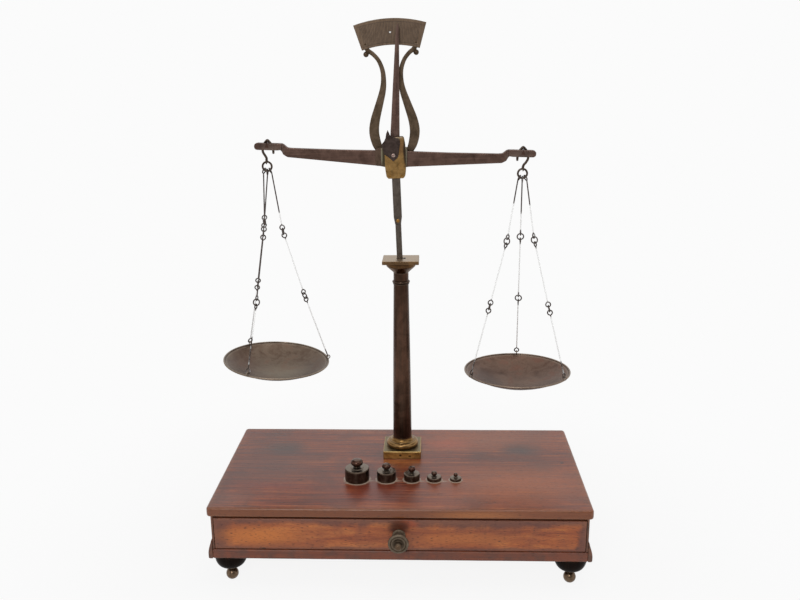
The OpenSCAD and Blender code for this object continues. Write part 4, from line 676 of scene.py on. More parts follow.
castLook = {
    # common start for the old metals, in mm: direction of file marks, patch of patina, grit of the surface
    "brush": (3, 3, 3), "patch": 9, "grit": 0.8, "bumpHeight": 0.15, "marks": 0.35, "metal": 1.0,
    "stops": (0.3, 0.45, 0.58, 0.75), "wearAndHighlightPart": 1.0, "grimeAndShadePart": 0.8, "specks": 0.5, "rough": (0.34, 0.5),
    "relief": 0.25,
}
panLook = dict(stops=(0.28, 0.42, 0.52, 0.62, 0.78), patch=20, grit=1.4, marks=0.15, wearAndHighlightTone="b0a290",
    wearAndHighlightPart=0.7, grimeAndShadeTone="2e241f", speckTone="3a271f", specks=0.6, rough=(0.36, 0.5), relief=0.12)
pinMid = midMm("keeper_pin")
plinthFront = boardLow.y + 118.7
dishDrop = 262     # mm from the knife edges to the middle of the dishes' marks
metals = {
    # yellow brass rubbed bright low on the cheek, dark along its right side, with a painted highlight on its
    # top ledge
    "rubbedBrass": ("worn_brass", dict(stops=(0.3, 0.44, 0.58, 0.75),
        tones=("4a3015", "765022", "926530", "a87c42"),
        spots=[((pinMid.x + x, boxMm("keeper_pin")[0].y, pinMid.z + z), size, colour, part, soft)
            for x, z, size, colour, part, soft in ((9, 9, (5, 20, 12), "6e5038", 0.7, 0.8),
                # the last spot is a painted highlight along the top ledge
                (13.4, 5, (3.6, 20, 20), "332a23", 0.95, 0.4), (4, 19, (7, 20, 2.4), "8d7f6b", 0.8, 0.4))],
        wearAndHighlightTone="a9976c", wearAndHighlightPart=0.7, grimeAndShadeTone="231b11", speckTone="2c1c0e")),
    # the plinth: olive gold on its sides, dull grey-green on top with painted light from above, two dark
    # spots in front
    "plinthBrass": ("worn_brass", dict(stops=(0.3, 0.44, 0.58, 0.75),
        tones=("6c502b", "a88244", "c89d58", "dcb572"),
        spots=[((boardMid.x - 2, plinthFront, boardHigh.z + 4.5), (1.7, 4, 1.5), "33230f", 0.9, 0.3),
            ((boardMid.x + 9, plinthFront, boardHigh.z + 3.6), (1.9, 4, 1.2), "3c2a14", 0.85, 0.3)],
        wearAndHighlightTone="b8ab82", wearAndHighlightPart=0.7, grimeAndShadeTone="2e2415", speckTone="3c2a16", topTone="706a56",
        rough=(0.36, 0.52))),
    # polished turned brass, with fine rings from the lathe
    "turnedBrass": ("worn_brass", dict(stops=(0.3, 0.45, 0.6, 0.75),
        tones=("60431f", "7d5c32", "8f6f44", "a08762"), brush=(20, 20, 0.5), patch=18, marks=0.2,
        wearAndHighlightTone="b3a488", wearAndHighlightPart=0.3, grimeAndShadeTone="2f2415", speckTone="3c2a16", specks=0.1,
        rough=(0.3, 0.36), relief=0)),
    # dull brass with a brown and olive patina
    "oliveBrass": ("old_brass", dict(tones=("292017", "403326", "4d3d30", "604f3f"), wearAndHighlightTone="857461",
        wearAndHighlightPart=0.6, grimeAndShadeTone="1e1813", speckTone="2c2019", rough=(0.38, 0.54))),
    # rolled brass plate with upright scratches and brown streaks
    "scalePlateBrass": ("old_brass", dict(tones=("3e2f25", "5c4b3d", "6b594a", "7d705e"), brush=(0.9, 4, 16),
        marks=0.62, wearAndHighlightTone="786a5b", wearAndHighlightPart=0.4, grimeAndShadeTone="211a14", speckTone="3a281f",
        rough=(0.4, 0.54))),
    # beaten sheet, grey-olive in the middle, reddish on the left and dark under its wall
    "panBrass": ("pan_brass", dict(panLook, tones=("4c3b31", "5f4e42", "6c5d50", "6e594c", "7b6d5c"),
        spots=[(leftEdge + Vector((x, y, -dishDrop)), size, colour, part, 0.9)
            for x, y, size, colour, part in ((4, -4, (38, 34, 30), "877c6b", 0.6),
                (-42, 0, (20, 40, 30), "5e4439", 0.5), (44, 6, (18, 34, 30), "51443a", 0.5))])),
    # the same sheet, browner and more reddish
    "redPanBrass": ("pan_brass", dict(panLook, tones=("48342a", "5d473c", "6b564a", "6e5145", "7a6556"),
        spots=[(rightEdge + Vector((x, y, -dishDrop)), size, colour, 0.5, 0.9) for x, y, size, colour in (
            (6, -4, (40, 30, 30), "7b6455"), (-40, -10, (24, 40, 30), "4b372e"))])),
    # brown lacquered bronze, reddish where the lacquer is thin, drawn along the column
    "darkBronze": ("dark_bronze", dict(tones=("261a13", "3a281e", "4e3326", "6a4331"), brush=(2.2, 2.2, 60),
        marks=0.5, patch=16,
        spots=[((columnMid.x, columnMid.y, boardHigh.z + 205), (30, 30, 60), "2e1f17", 0.5, 0.9)],
        wearAndHighlightTone="8c7b6c", grimeAndShadeTone="130e0b", speckTone="1d130f", rough=(0.28, 0.42), relief=0.08)),
    # the capital: brown sides and a pale top edge, rubbed and with painted light from above, and painted
    # shade as a dark oval in the mouth of its slot
    "capBronze": ("dark_bronze", dict(tones=("302217", "4e3620", "634526", "785a36"), patch=12,
        # painted shade: a near black oval for the inside of the slot
        spots=[((columnMid.x + 3.8, columnMid.y, boardHigh.z + 233.7), (1.9, 4.6, 3), "0c0806", 1, 0.2)],
        wearAndHighlightTone="9a8468", wearAndHighlightPart=0.6, grimeAndShadeTone="18110c", speckTone="2c1e14", topTone="a8947a",
        rough=(0.34, 0.48))),
    # handled bronze, nearly black, with top faces painted grey as lit from above and a reddish cast on the
    # knobs
    "weightBronze": ("polished_bronze", dict(tones=("2c241d", "443a31", "574c41", "6b6054"), patch=7,
        spots=[(((low.x + high.x) / 2, (low.y + high.y) / 2, high.z - tall / 2),
            (width * 0.6, width * 0.6, tall * 0.62), "4a261e", 0.85, 0.3)
            for (low, high), (width, tall) in zip(weightBoxes, weightShape["knobs"])],
        wearAndHighlightTone="7a6154", wearAndHighlightPart=0.3, grimeAndShadeTone="0e0a08", speckTone="140e0b", topTone="7c7064",
        rough=(0.24, 0.38), relief=0.1)),
    # turned bronze knob, greenish brown, dark in its grooves with grime and painted shade
    "knobBronze": ("polished_bronze", dict(tones=("403729", "5b4d40", "6d5f50", "7f7161"), patch=6,
        spots=[((knobMid.x, boxMm("drawer_knob")[0].y, knobMid.z), (4, 12, 4), "5c4634", 0.7, 0.3)],
        wearAndHighlightTone="857a6a", wearAndHighlightPart=0.35, grimeAndShadeTone="2a221a", speckTone="33251b", rough=(0.5, 0.64))),
    # forged iron kept oiled: brown-black with rust specks
    "oiledIron": ("dark_iron", dict(tones=("2e2824", "463f3a", "544c46", "695f57"), patch=6, grit=0.6,
        brush=(2, 2, 18), wearAndHighlightTone="756b61", wearAndHighlightPart=0.6, grimeAndShadeTone="12100e", speckTone="432a1d",
        rough=(0.4, 0.54), relief=0.3)),
    # the keeper: filed dark iron with a bluish purple cast
    "keeperIron": ("dark_iron", dict(tones=("1f1817", "302525", "3c302f", "4d403e"), patch=5, grit=0.6,
        wearAndHighlightTone="665a50", wearAndHighlightPart=0.6, grimeAndShadeTone="0c0a0a", speckTone="4a2c22", rough=(0.36, 0.5),
        relief=0.3)),
    # steel browned with age, draw-filed along the beam, darker at its end bars
    "brownedSteel": ("brown_steel", dict(tones=("33221c", "4a352d", "5b4238", "6c564b"), patch=11,
        brush=(30, 1.4, 1.4), marks=0.45,
        spots=[(leftEdge, (17, 20, 9), "3d302b", 0.55, 0.6), (rightEdge, (17, 20, 9), "463833", 0.4, 0.6)],
        wearAndHighlightTone="83736a", wearAndHighlightPart=0.6, grimeAndShadeTone="170f0d", speckTone="2c1a15", specks=0.6, grimeAndShadePart=0.15,
        rough=(0.38, 0.52), relief=0.2)),
    # the pointer: the same steel, filed along its length
    "pointerSteel": ("brown_steel", dict(tones=("30201c", "462f29", "563b33", "674e44"), brush=(1.2, 1.2, 30),
        marks=0.45, wearAndHighlightTone="7f6c63", wearAndHighlightPart=0.5, grimeAndShadeTone="170f0d", speckTone="2c1a15",
        rough=(0.38, 0.52), relief=0.15)),
    # round iron wire, brown-black
    "hookIron": ("dark_iron", dict(tones=("1f1713", "2f241e", "3c3028", "4f4339"), patch=4, grit=0.5,
        wearAndHighlightTone="6d6055", grimeAndShadeTone="0e0a08", speckTone="3a2318", rough=(0.36, 0.5), relief=0.2)),
    # hard drawn wire, painted near white along its straight runs as a painted highlight, and brown in its
    # eyes
    "drawnWire": ("wire_steel", dict(stops=(0.3, 0.5, 0.7), tones=("ecebea", "f6f6f5", "fbfbfb"), patch=5,
        brush=(0.3, 0.3, 8), metal=0.2, wearAndHighlightTone="f4f4f4", grimeAndShadeTone="3a2f28", speckTone="a89c92", specks=0.1,
        rough=(0.24, 0.36), relief=0.03, patina="3a2d26")),
    # the keeper's pin, a polished pinkish steel head
    "pinSteel": ("wire_steel", dict(stops=(0.3, 0.5, 0.7), tones=("6a4f46", "876a60", "a08a82"), patch=3,
        wearAndHighlightTone="b8a8a0", grimeAndShadeTone="2a211c", speckTone="4b352c", rough=(0.3, 0.4), relief=0.1)),
    # dirt that fills the plate's engraved lines
    "engravedBlack": ("old_brass", dict(stops=(0.3, 0.5, 0.7), tones=("241a14", "3a2d24", "4a3a2e"),
        metal=0.3, wearAndHighlightTone="4a3a2e", grimeAndShadeTone="120d0a", speckTone="120d0a", rough=(0.5, 0.65))),
    # the ball feet: brass gone brown, rubbed pale where they stand
    "footBrass": ("worn_brass", dict(stops=(0.3, 0.45, 0.6, 0.75),
        tones=("3a2a20", "544234", "6b5848", "806c5a"), patch=5, wearAndHighlightTone="a8967a", wearAndHighlightPart=0.5,
        grimeAndShadeTone="1c140d", speckTone="2c1e12", rough=(0.26, 0.4), relief=0.06)),
    # the saddle of the beam: nearly as dark as the steel and greenish, with painted highlights as pale lines
    # along its edges
    "saddleBronze": ("old_brass", dict(tones=("33241e", "48352d", "574138", "675248"), patch=6,
        spots=[((pinMid.x - 10, pinMid.y, pinMid.z), (3.4, 30, 14), "45402f", 0.8, 0.4),
            # painted highlights: thin pale upright lines on its left and right edges
            ((pinMid.x - 12.6, pinMid.y, pinMid.z + 1), (1, 30, 13), "8c8670", 0.7, 0.4),
            ((pinMid.x + 13.6, pinMid.y, pinMid.z), (1.4, 30, 14), "7c7664", 0.7, 0.4)],
        wearAndHighlightTone="6c6252", wearAndHighlightPart=0.5, grimeAndShadeTone="14100c", speckTone="2a2018", rough=(0.4, 0.54))),
}
for name, (slot, look) in metals.items():
    agedMetal(name, slot, dict(castLook, **look))
print("Finishes ready:", len(finishes))


def pieceName(node):
    # top_board becomes topBoard
    start, *rest = node.split("_")
    return start + "".join(word.capitalize() for word in rest)


def planedPiece(node, finish, body, shape):
    name = pieceName(node)
    addPiece(name, softBlock(name, *boxMm(node), *shape), finish, body, [node])


# Box: planed boards with worn arrises. Their rounded corners and edges, the spacing of the mesh's loops and
# the depth of the dents in mm, and a seed for the dents
planedShape = {"board": (4, 2.3, 8, 0.18, 1), "rail": (0, 1.3, 6, 0.22, 5), "drawer": (0, 0.8, 7, 0.1, 9),
    "plinth": (0.9, 0.8, 3.5, 0.22, 4), "hidden": (0, 0.6, 12, 0.08), "eased": 0.4}
planedPiece("top_board", "boardMahogany", "case", planedShape["board"])
planedPiece("front_rail", "railMahogany", "case", planedShape["rail"])
planedPiece("drawer_front", "drawerMahogany", "drawer", planedShape["drawer"])
for node, finish in (("case_left_side", "sideMahogany"), ("case_right_side", "sideMahogany"),
        ("left_moulding", "sideMahogany"), ("right_moulding", "sideMahogany"), ("drawer_runners", "sideOak")):
    addPiece(node + "_planed", refined(node, node, planedShape["eased"]), finish, "case", [node])
for node, finish, body in (("case_back", "boardMahogany", "case"), ("case_bottom", "planedOak", "case"),
        ("drawer_left_side", "sideOak", "drawer"), ("drawer_right_side", "sideOak", "drawer"),
        ("drawer_back", "planedOak", "drawer"), ("drawer_bottom", "planedOak", "drawer")):
    block = softBlock(node, *boxMm(node), *planedShape["hidden"], len(node))
    addPiece(node + "_planed", block, finish, body, [node])
print("Box and drawer ready")

# Feet: ebonised buns on brass balls, in mm and radians
footShape = {"bunRadius": 17.4, "seat": 0.56, "lip": 0.25, "band": 2, "rim": 1.2, "ballWidth": 13.3,
    "ballEnd": 2.62, "flatWidth": 4.4, "collarWidth": 11.6, "collarHeight": 4.6, "pinRadius": 2.4,
    "pinRise": 9,
    # the collar's outline: parts of its radius and of its height
    "collar": ((0.74, 1), (0.94, 0.84), (1, 0.66), (0.95, 0.46), (0.78, 0.36), (0.76, 0.22), (0.88, 0.14),
        (0.9, 0))}
bunLow, bunHigh = boxMm("foot_buns")
bunInset = footShape["bunRadius"]
footPlaces = [Matrix.Translation((x, y, 0)) for x in (bunLow.x + bunInset, bunHigh.x - bunInset)
              for y in (bunLow.y + bunInset, bunHigh.y - bunInset)]


def footBun(shape):
    low, high, radius, seat, lip = bunLow.z, bunHigh.z, shape["bunRadius"], shape["seat"], shape["lip"]
    rise = high - low - shape["rim"] - shape["band"]
    profile = [(0, low), (radius * 0.5, low), (radius * seat, low + lip)]
    profile += [(radius * (seat + (1 - seat) * math.sin(a)), low + lip + rise * (1 - math.cos(a)))
                for a in arc(0, math.pi / 2, 12, 1)]
    return profile + [(radius, high - shape["rim"]), (radius - 0.2, high - 0.5), (radius - 0.8, high),
        (0, high)]


def footBall(shape):
    radius, collar, flat = shape["ballWidth"] / 2, shape["collarWidth"] / 2, shape["flatWidth"] / 2
    low, tall, pin = bunLow.z, shape["collarHeight"], shape["pinRadius"]
    start = math.asin(flat / radius)
    centre = radius * math.cos(start)
    profile = [(0, 0), (flat * 0.9, 0)]
    profile += [(radius * math.sin(a), centre - radius * math.cos(a))
                for a in arc(start, shape["ballEnd"], 18)]
    profile += [(collar * 0.56, low - tall - 0.1)]
    profile += [(collar * wide, low - tall * part) for wide, part in shape["collar"]]
    return profile + [(pin, low), (pin, low + shape["pinRise"]), (0, low + shape["pinRise"])]


for name, node, profile, sides, finish in (("footBuns", "foot_buns", footBun(footShape), 56, "ebonisedBeech"),
        ("footBalls", "foot_balls", footBall(footShape), 40, "footBrass")):
    feet = joined(name, [turned("foot", profile, sides, spot) for spot in footPlaces])
    addPiece(name, feet, finish, "case", [node])

# Drawer knob: a ringed disc on a neck, with a round button in its middle, as radius and reach in mm
knobShape = {
    "profile": [(0, 0), (6.8, 0), (7, 0.4), (6.9, 1.1), (6.2, 1.7), (5.5, 2.3), (4.8, 3.4), (4.4, 5),
        (4.2, 9), (4.5, 11.6), (5.4, 13.4), (7.2, 14.3), (9, 14.6), (10.1, 15.1), (10.7, 16.2), (10.72, 17),
        (10.3, 17.9), (9.5, 18.4), (8.8, 18.45), (8.3, 18.1), (7.9, 17.9), (7.4, 18.1), (6.7, 18.35),
        (6, 18.2), (5.3, 17.9), (4.4, 18), (3.8, 18.5), (3.5, 19.4), (3.6, 20.8), (3.68, 22.4), (3.5, 23.9),
        (2.8, 25.1), (1.6, 25.8), (0, 26)],
}
faceFront = Matrix.Rotation(math.pi / 2, 4, "X")
knobPlace = Matrix.Translation((knobMid.x, drawerLow.y, knobMid.z)) @ faceFront
addPiece("drawerKnob", turned("drawerKnob", knobShape["profile"], 64, knobPlace), "knobBronze", "drawer",
    ["drawer_knob"], sharp=50)
print("Feet and knob ready")

# Column: square plinth, rounded ring, tapered shaft and the capital with its slot, in mm
ringLow, ringHigh = boxMm("column_base_ring")
shaftLow, shaftHigh = boxMm("column_shaft")
columnShape = {"footRadius": 10.8, "headRadius": 8.45, "swell": 0.25, "astragal": 9.95, "astragalFoot": 13.2,
    "necking": 9.0, "fillet": 0.7, "lip": 0.3}
axisPlace = Matrix.Translation((columnMid.x, columnMid.y, 0))
planedPiece("column_plinth", "plinthBrass", "case", planedShape["plinth"])


def ringProfile(shape):
    radius, low, high = (ringHigh.x - ringLow.x) / 2, ringLow.z, ringHigh.z
    bead = (high - low) * 0.3
    foot, neck, fillet = radius - bead, shape["footRadius"] + 0.6, shape["fillet"]
    profile = [(0, low), (foot, low)]
    profile += [(foot + bead * math.cos(a), low + bead + bead * math.sin(a))
                for a in arc(-math.pi / 2, math.pi / 2, 16, 1)]
    step = low + 2 * bead
    profile += [(foot - 0.5, step + 0.05), (foot - fillet, step + 0.5)]
    profile += [(foot - fillet - (foot - fillet - neck) * math.sin(a),
                step + 0.5 + (high - step - 0.5) * (1 - math.cos(a))) for a in arc(0, math.pi / 2, 9, 1)]
    return profile + [(neck - 0.8, high), (0, high)]


def shaftProfile(shape):
    low, high = shaftLow.z, shaftHigh.z
    foot, head, bead, lip = shape["footRadius"], shape["headRadius"], shape["astragal"], shape["lip"]
    start, neck, fillet = high - shape["astragalFoot"], high - shape["necking"], head + shape["fillet"]
    profile = [(0, low), (foot - lip, low), (foot, low + lip)]
    profile += [(foot + (head - foot) * t + shape["swell"] * math.sin(math.pi * t),
                low + lip + (start - low - lip) * t) for t in arc(0, 1, 30, 1)]
    profile += [(fillet, start + 0.1), (fillet, start + 1.2), (fillet + 0.05, start + 1.25)]
    middle, half = (start + 1.34 + neck) / 2, (neck - start - 1.34) / 2
    profile += [(bead - half + half * math.cos(a), middle + half * math.sin(a))
                for a in arc(-math.pi / 2, math.pi / 2, 10)]
    return profile + [(head, neck), (head, high), (0, high)]


addPiece("columnRing", turned("columnRing", ringProfile(columnShape), 96, axisPlace), "turnedBrass", "case",
    ["column_base_ring"])
addPiece("columnShaft", turned("columnShaft", shaftProfile(columnShape), 72, axisPlace), "darkBronze", "case",
    ["column_shaft"])
addPiece("columnCapital", refined("columnCapital", "column_capital", 0.55, 3), "capBronze", "case",
    ["column_capital"], sharp=14)


def filedPieces(body, parts):
    # the CAD shapes with their arrises eased, a width in mm and a finish for each node
    for node, (width, finish) in parts.items():
        addPiece(pieceName(node), refined(pieceName(node), node, width), finish, body, [node])


# Mast, yoke and lyre
filedPieces("mast", {"mast_rod": (0.45, "oiledIron"), "mast_bar": (0.45, "oiledIron"),
    "yoke_front_cheek": (0.45, "rubbedBrass"), "yoke_back_cheek": (0.45, "oliveBrass"),
    "yoke_block": (0.3, "oliveBrass"), "keeper_plate": (0.4, "keeperIron"),
    "lyre_frame": (0.55, "oliveBrass"), "indicator_plate": (0.3, "scalePlateBrass")})


def newTree(name, sockets):
    tree = bpy.data.node_groups.new(name, "GeometryNodeTree")
    tree.interface.new_socket("Geometry", in_out="OUTPUT", socket_type="NodeSocketGeometry")
    tree.interface.new_socket("Geometry", in_out="INPUT", socket_type="NodeSocketGeometry")
    for label, kind in sockets:
        tree.interface.new_socket(label, in_out="INPUT", socket_type="NodeSocket" + kind)
    return tree, addNode(tree, "NodeGroupInput").outputs


def endTree(tree, geometry, finish):
    real = addNode(tree, "GeometryNodeRealizeInstances", {0: geometry})
    painted = addNode(tree, "GeometryNodeSetMaterial", {0: real, 2: finish})
    addNode(tree, "NodeGroupOutput", {0: painted})


def grown(name, mesh, tree, values):
    # runs a tree on a mesh and returns the plain mesh that it makes
    holder = bpy.data.objects.new(name, mesh)
    bpy.context.scene.collection.objects.link(holder)
    modifier = holder.modifiers.new(name, "NODES")
    modifier.node_group = tree
    for item in tree.interface.items_tree:
        if item.item_type == "SOCKET" and item.in_out == "INPUT" and item.name in values:
            modifier[item.identifier] = values[item.name]
    result = plainMesh(holder)
    bpy.data.objects.remove(holder)
    return result


def makeRivetTree():
    # a domed head on every point, looking along the point's "aim"
    tree, given = newTree("rivetHeads", [("Head width", "Float"), ("Head height", "Float"),
        ("Finish", "Material")])
    dome = addNode(tree, "GeometryNodeMeshUVSphere", {0: 24, 1: 12, 2: 1.0})
    half = addNode(tree, "ShaderNodeMath", {0: given["Head width"], 1: 0.5}, operation="MULTIPLY")
    size = addNode(tree, "ShaderNodeCombineXYZ", {0: half, 1: half, 2: given["Head height"]})
    aim = addNode(tree, "GeometryNodeInputNamedAttribute", {"Name": "aim"}, data_type="FLOAT_VECTOR")
    turn = addNode(tree, "FunctionNodeAlignRotationToVector", {2: aim.outputs[0]}, axis="Z")
    heads = addNode(tree, "GeometryNodeInstanceOnPoints", {0: given["Geometry"], 2: dome, 5: turn, 6: size})
    endTree(tree, heads, given["Finish"])
    return tree


rivetTree = makeRivetTree()


def riveted(node, spots, ends, bury, shank, head, finish, ways=(-1, 1)):
    # shanks along Y at each spot, with a domed head at the ends that face the given ways; bury is how far a
    # shank stops inside its heads
    name = pieceName(node)
    front, back = ends
    width, height = head
    shanks = [tube("shank", [place @ Vector((0, y, 0)) for y in (front + bury, back - bury)],
        [shank, shank], 20) for place in spots]
    heads = [(place @ Vector((0, y, 0)), way) for place in spots for y, way in ((front, -1), (back, 1))
             if way in ways]
    mesh = bpy.data.meshes.new(name)
    mesh.from_pydata([spot * mm for spot, way in heads], [], [])
    aims = mesh.attributes.new("aim", "FLOAT_VECTOR", "POINT")
    for item, (spot, way) in zip(aims.data, heads):
        item.vector = (0, way, 0)
    domes = grown(name, mesh, rivetTree, {"Head width": width * mm, "Head height": height * mm,
        "Finish": finishes[finish][0]})
    addPiece(name, joined(name, [joined(name, shanks), domes]), finish, "mast", [node])


rivetShape = {
    # place right of and above the knife edge, where the front and back heads sit, the heads' width and
    # height, the finish and which ends show a head; all in mm
    "yoke_rivets": ((6.2, -32), (-7.4, 7.4), (2.6, 0.3), "rubbedBrass", (-1, 1)),
    "lyre_rivets": ((6.05, -14), (5.2, 10), (3.2, 0.5), "oliveBrass", (1,)),
    "plate_rivets": ([109 * way(math.radians(14.2)) for way in (math.sin, math.cos)], (5.8, 10), (2.6, 0.3),
        "oliveBrass", (-1, 1)),
}
for node, ((x, z), ends, head, finish, ways) in rivetShape.items():
    spots = [yokePlace @ Matrix.Translation((side * x, 0, z)) for side in (-1, 1)]
    riveted(node, spots, ends, 0.05, 1.0, head, finish, ways)
lapLow, lapHigh = boxMm("mast_rivet")
lapMid, lapHead = midMm("mast_rivet"), (4.2, 0.6)
riveted("mast_rivet", [Matrix.Translation((lapMid.x, 0, lapMid.z))],
    (lapLow.y + lapHead[1], lapHigh.y - lapHead[1]), -0.1, 1.5, lapHead, "rubbedBrass")

# Keeper pin: a flat round head on a plain shank, as radius and distance from the head's face
pinShape = [(1.15, 0.9), (1.9, 0.8), (2, 0.5), (1.7, 0.2), (1, 0.05), (0, 0)]
pinLow, pinHigh = boxMm("keeper_pin")
pinReach = pinHigh.y - pinLow.y
pinProfile = [(0, 0), (1.15, 0)] + [(radius, pinReach - short) for radius, short in pinShape]
pinPlace = Matrix.Translation((pinMid.x, pinHigh.y, pinMid.z)) @ faceFront
addPiece("keeperPin", turned("keeperPin", pinProfile, 32, pinPlace), "pinSteel", "mast", ["keeper_pin"],
    sharp=60)


def makeScaleTree():
    # fine engraved lines across the indicator plate, with a border line along both arcs
    tree, given = newTree("scaleLines", [("Count", "Int"), ("Inner radius", "Float"),
        ("Outer radius", "Float"), ("Half angle", "Float"), ("Line width", "Float"), ("Finish", "Material")])
    middle = addNode(tree, "ShaderNodeMix", {0: 0.5, 2: given["Inner radius"], 3: given["Outer radius"]})
    reach = addNode(tree, "ShaderNodeMath", {0: given["Outer radius"], 1: given["Inner radius"]},
        operation="SUBTRACT")
    start = addNode(tree, "ShaderNodeMath", {0: math.pi / 2, 1: given["Half angle"]}, operation="SUBTRACT")
    sweep = addNode(tree, "ShaderNodeMath", {0: given["Half angle"], 1: 2}, operation="MULTIPLY")
    inset = addNode(tree, "ShaderNodeMath", {0: given["Half angle"], 1: 0.93}, operation="MULTIPLY")
    insetStart = addNode(tree, "ShaderNodeMath", {0: math.pi / 2, 1: inset}, operation="SUBTRACT")
    insetSweep = addNode(tree, "ShaderNodeMath", {0: inset, 1: 2}, operation="MULTIPLY")
    row = addNode(tree, "GeometryNodeCurveArc", {0: given["Count"], 4: middle, 5: insetStart, 6: insetSweep},
        mode="RADIUS")
    tangent = addNode(tree, "GeometryNodeInputTangent")
    turn = addNode(tree, "FunctionNodeAlignRotationToVector", {2: tangent}, axis="X", pivot_axis="Z")
    size = addNode(tree, "ShaderNodeCombineXYZ", {0: given["Line width"], 1: reach, 2: given["Line width"]})
    bar = addNode(tree, "GeometryNodeMeshCube", {0: size})
    bars = addNode(tree, "GeometryNodeInstanceOnPoints", {0: row, 2: bar, 5: turn})
    joinedUp = addNode(tree, "GeometryNodeJoinGeometry")
    profile = addNode(tree, "GeometryNodeCurvePrimitiveQuadrilateral", {0: given["Line width"],
        1: given["Line width"]})
    for radius in ("Inner radius", "Outer radius"):
        border = addNode(tree, "GeometryNodeCurveArc", {0: 60, 4: given[radius], 5: start, 6: sweep},
            mode="RADIUS")
        line = addNode(tree, "GeometryNodeCurveToMesh", {0: border, 1: profile, 3: True})
        tree.links.new(line.outputs[0], joinedUp.inputs[0])
    tree.links.new(bars.outputs[0], joinedUp.inputs[0])
    endTree(tree, joinedUp, given["Finish"])
    return tree


scaleShape = {"lines": 41, "inner": 106.6, "outer": 127.6, "halfAngle": 15.6, "line": 0.4, "sunk": 0.24}
scaleMesh = grown("scaleLines", bpy.data.meshes.new("blank"), makeScaleTree(), {"Count": scaleShape["lines"],
    "Inner radius": scaleShape["inner"] * mm, "Outer radius": scaleShape["outer"] * mm,
    "Half angle": math.radians(scaleShape["halfAngle"]), "Line width": scaleShape["line"] * mm,
    "Finish": finishes["engravedBlack"][0]})


def inMetres(place):
    # a place in mm, for a mesh that is already in metres
    return Matrix.Translation(place.translation * mm) @ place.to_3x3().to_4x4()


plateFront = boxMm("indicator_plate")[0].y - pivot.y
lineDepth = Matrix.Translation((0, plateFront + scaleShape["line"] - scaleShape["sunk"], 0))
scaleMesh.transform(inMetres(yokePlace @ lineDepth) @ faceFront)
addPiece("scaleLines", scaleMesh, "engravedBlack", "mast", mark=False)
print("Column, mast and lyre ready")

# Beam, saddle and pointer; the beam's edges stay sharp beside the knives
beamShape = {"eased": 0.8, "knifeSeat": 3.2}
addPiece("beamBar", refined("beamBar", "beam_bar", beamShape["eased"], 3, 25, lambda p: all(
    abs((p - spot).dot(beamRight)) > beamShape["knifeSeat"] for spot in (leftEdge, rightEdge, pivot))),
    "brownedSteel", "beam", ["beam_bar"])
filedPieces("beam", {"saddle_front": (0.35, "saddleBronze"), "saddle_back": (0.35, "saddleBronze")})
pointerShape = {
    # height over the knife edge, half width: a ridge runs up the middle of both faces
    "stations": [(7.2, 5.1), (30, 4.4), (60, 3.55), (102, 2.25), (118, 1.45), (123.3, 1.1), (125.3, 0.28)],
    "ridge": 1.18, "edge": 0.3,
}


def pointerMesh(shape):
    points, faces = [], []
    edge = shape["edge"]
    for height, half in shape["stations"]:
        ridge = shape["ridge"] * min(1, 0.45 + half / 5)
        points += [(x, y, height) for x, y in ((-half, -edge), (0, -ridge), (half, -edge), (half, edge),
            (0, ridge), (-half, edge))]
    for low in range(0, len(points) - 6, 6):
        faces += [(low + k, low + (k + 1) % 6, low + 6 + (k + 1) % 6, low + 6 + k) for k in range(6)]
    last = len(points) - 6
    faces += [tuple(range(5, -1, -1)), tuple(range(last, last + 6))]
    return faceOut(meshFrom("pointer", points, faces, beamPlace))


addPiece("pointerBlade", pointerMesh(pointerShape), "pointerSteel", "beam", ["pointer"], sharp=12)

# Hooks: round iron wire, drawn to a point at the open end
hookShape = {
    "wire": 1.35,
    # outboard of and above the knife edge, with the part of the full wire thickness
    "path": [(-5.75, -12.9, 0.7), (-5.95, -11.6, 0.95), (-5.9, -9.6, 1), (-5.3, -6, 1), (-3.7, -2.2, 1),
        (-1.5, 0.55, 1), (0, 1.72, 0.98), (1.5, 0.55, 1), (3.8, -2.4, 1), (5.5, -7, 1), (5.35, -11, 1),
        (3.3, -14.7, 1), (1.1, -17.2, 1), (0.4, -19.4, 1.05), (0.1, -21.3, 1.1)],
    "bend": (-14.7, 5), "smooth": 4, "drop": 26.5, "ringRadius": 5, "ringWire": 1.1, "leftLean": 1.6,
    # the short tail inside the ring, from the ring's middle, and the wire's radius along it
    "tail": [(0.9, 0, 4.6), (0.7, 0, 3.4), (0.1, -0.2, 2.5)],
    "tailWire": [0.8, 0.78, 0.74, 0.7, 0.65, 0.55, 0.4],
}


def hookMesh(name, edge, side, shape, lean):
    # lean is how far outboard of the knife edge the ring hangs
    top, reach = shape["bend"]
    steps = shape["smooth"]
    spine = rounded([(side * (x + lean * min(1, max(0, (top - z) / reach))), 0, z)
                     for x, z, part in shape["path"]], steps)
    parts = [part for x, z, part in shape["path"]]
    radii = [shape["wire"] * (a + (b - a) * k / steps) for a, b in zip(parts, parts[1:])
             for k in range(steps)]
    radii.append(shape["wire"] * parts[-1])
    low = Vector((side * lean, 0, -shape["drop"]))
    around = ringPath(low, (0, 1, 0), shape["ringRadius"], 40)
    tail = rounded([low + Vector((side * x, y, z)) for x, y, z in shape["tail"]], 3)
    place = Matrix.Translation(edge)
    return joined(name, [tube("spine", spine, radii, 18, place=place),
        tube("ring", around, [shape["ringWire"]] * len(around), 16, True, place),
        tube("tail", tail, shape["tailWire"], 12, place=place)])


for node, edge, side, lean in (("left_hook", leftEdge, -1, hookShape["leftLean"]),
        ("right_hook", rightEdge, 1, 0)):
    name = pieceName(node)
    addPiece(name, hookMesh(name, edge, side, hookShape, lean), "hookIron", node, [node])
print("Beam and hooks ready")

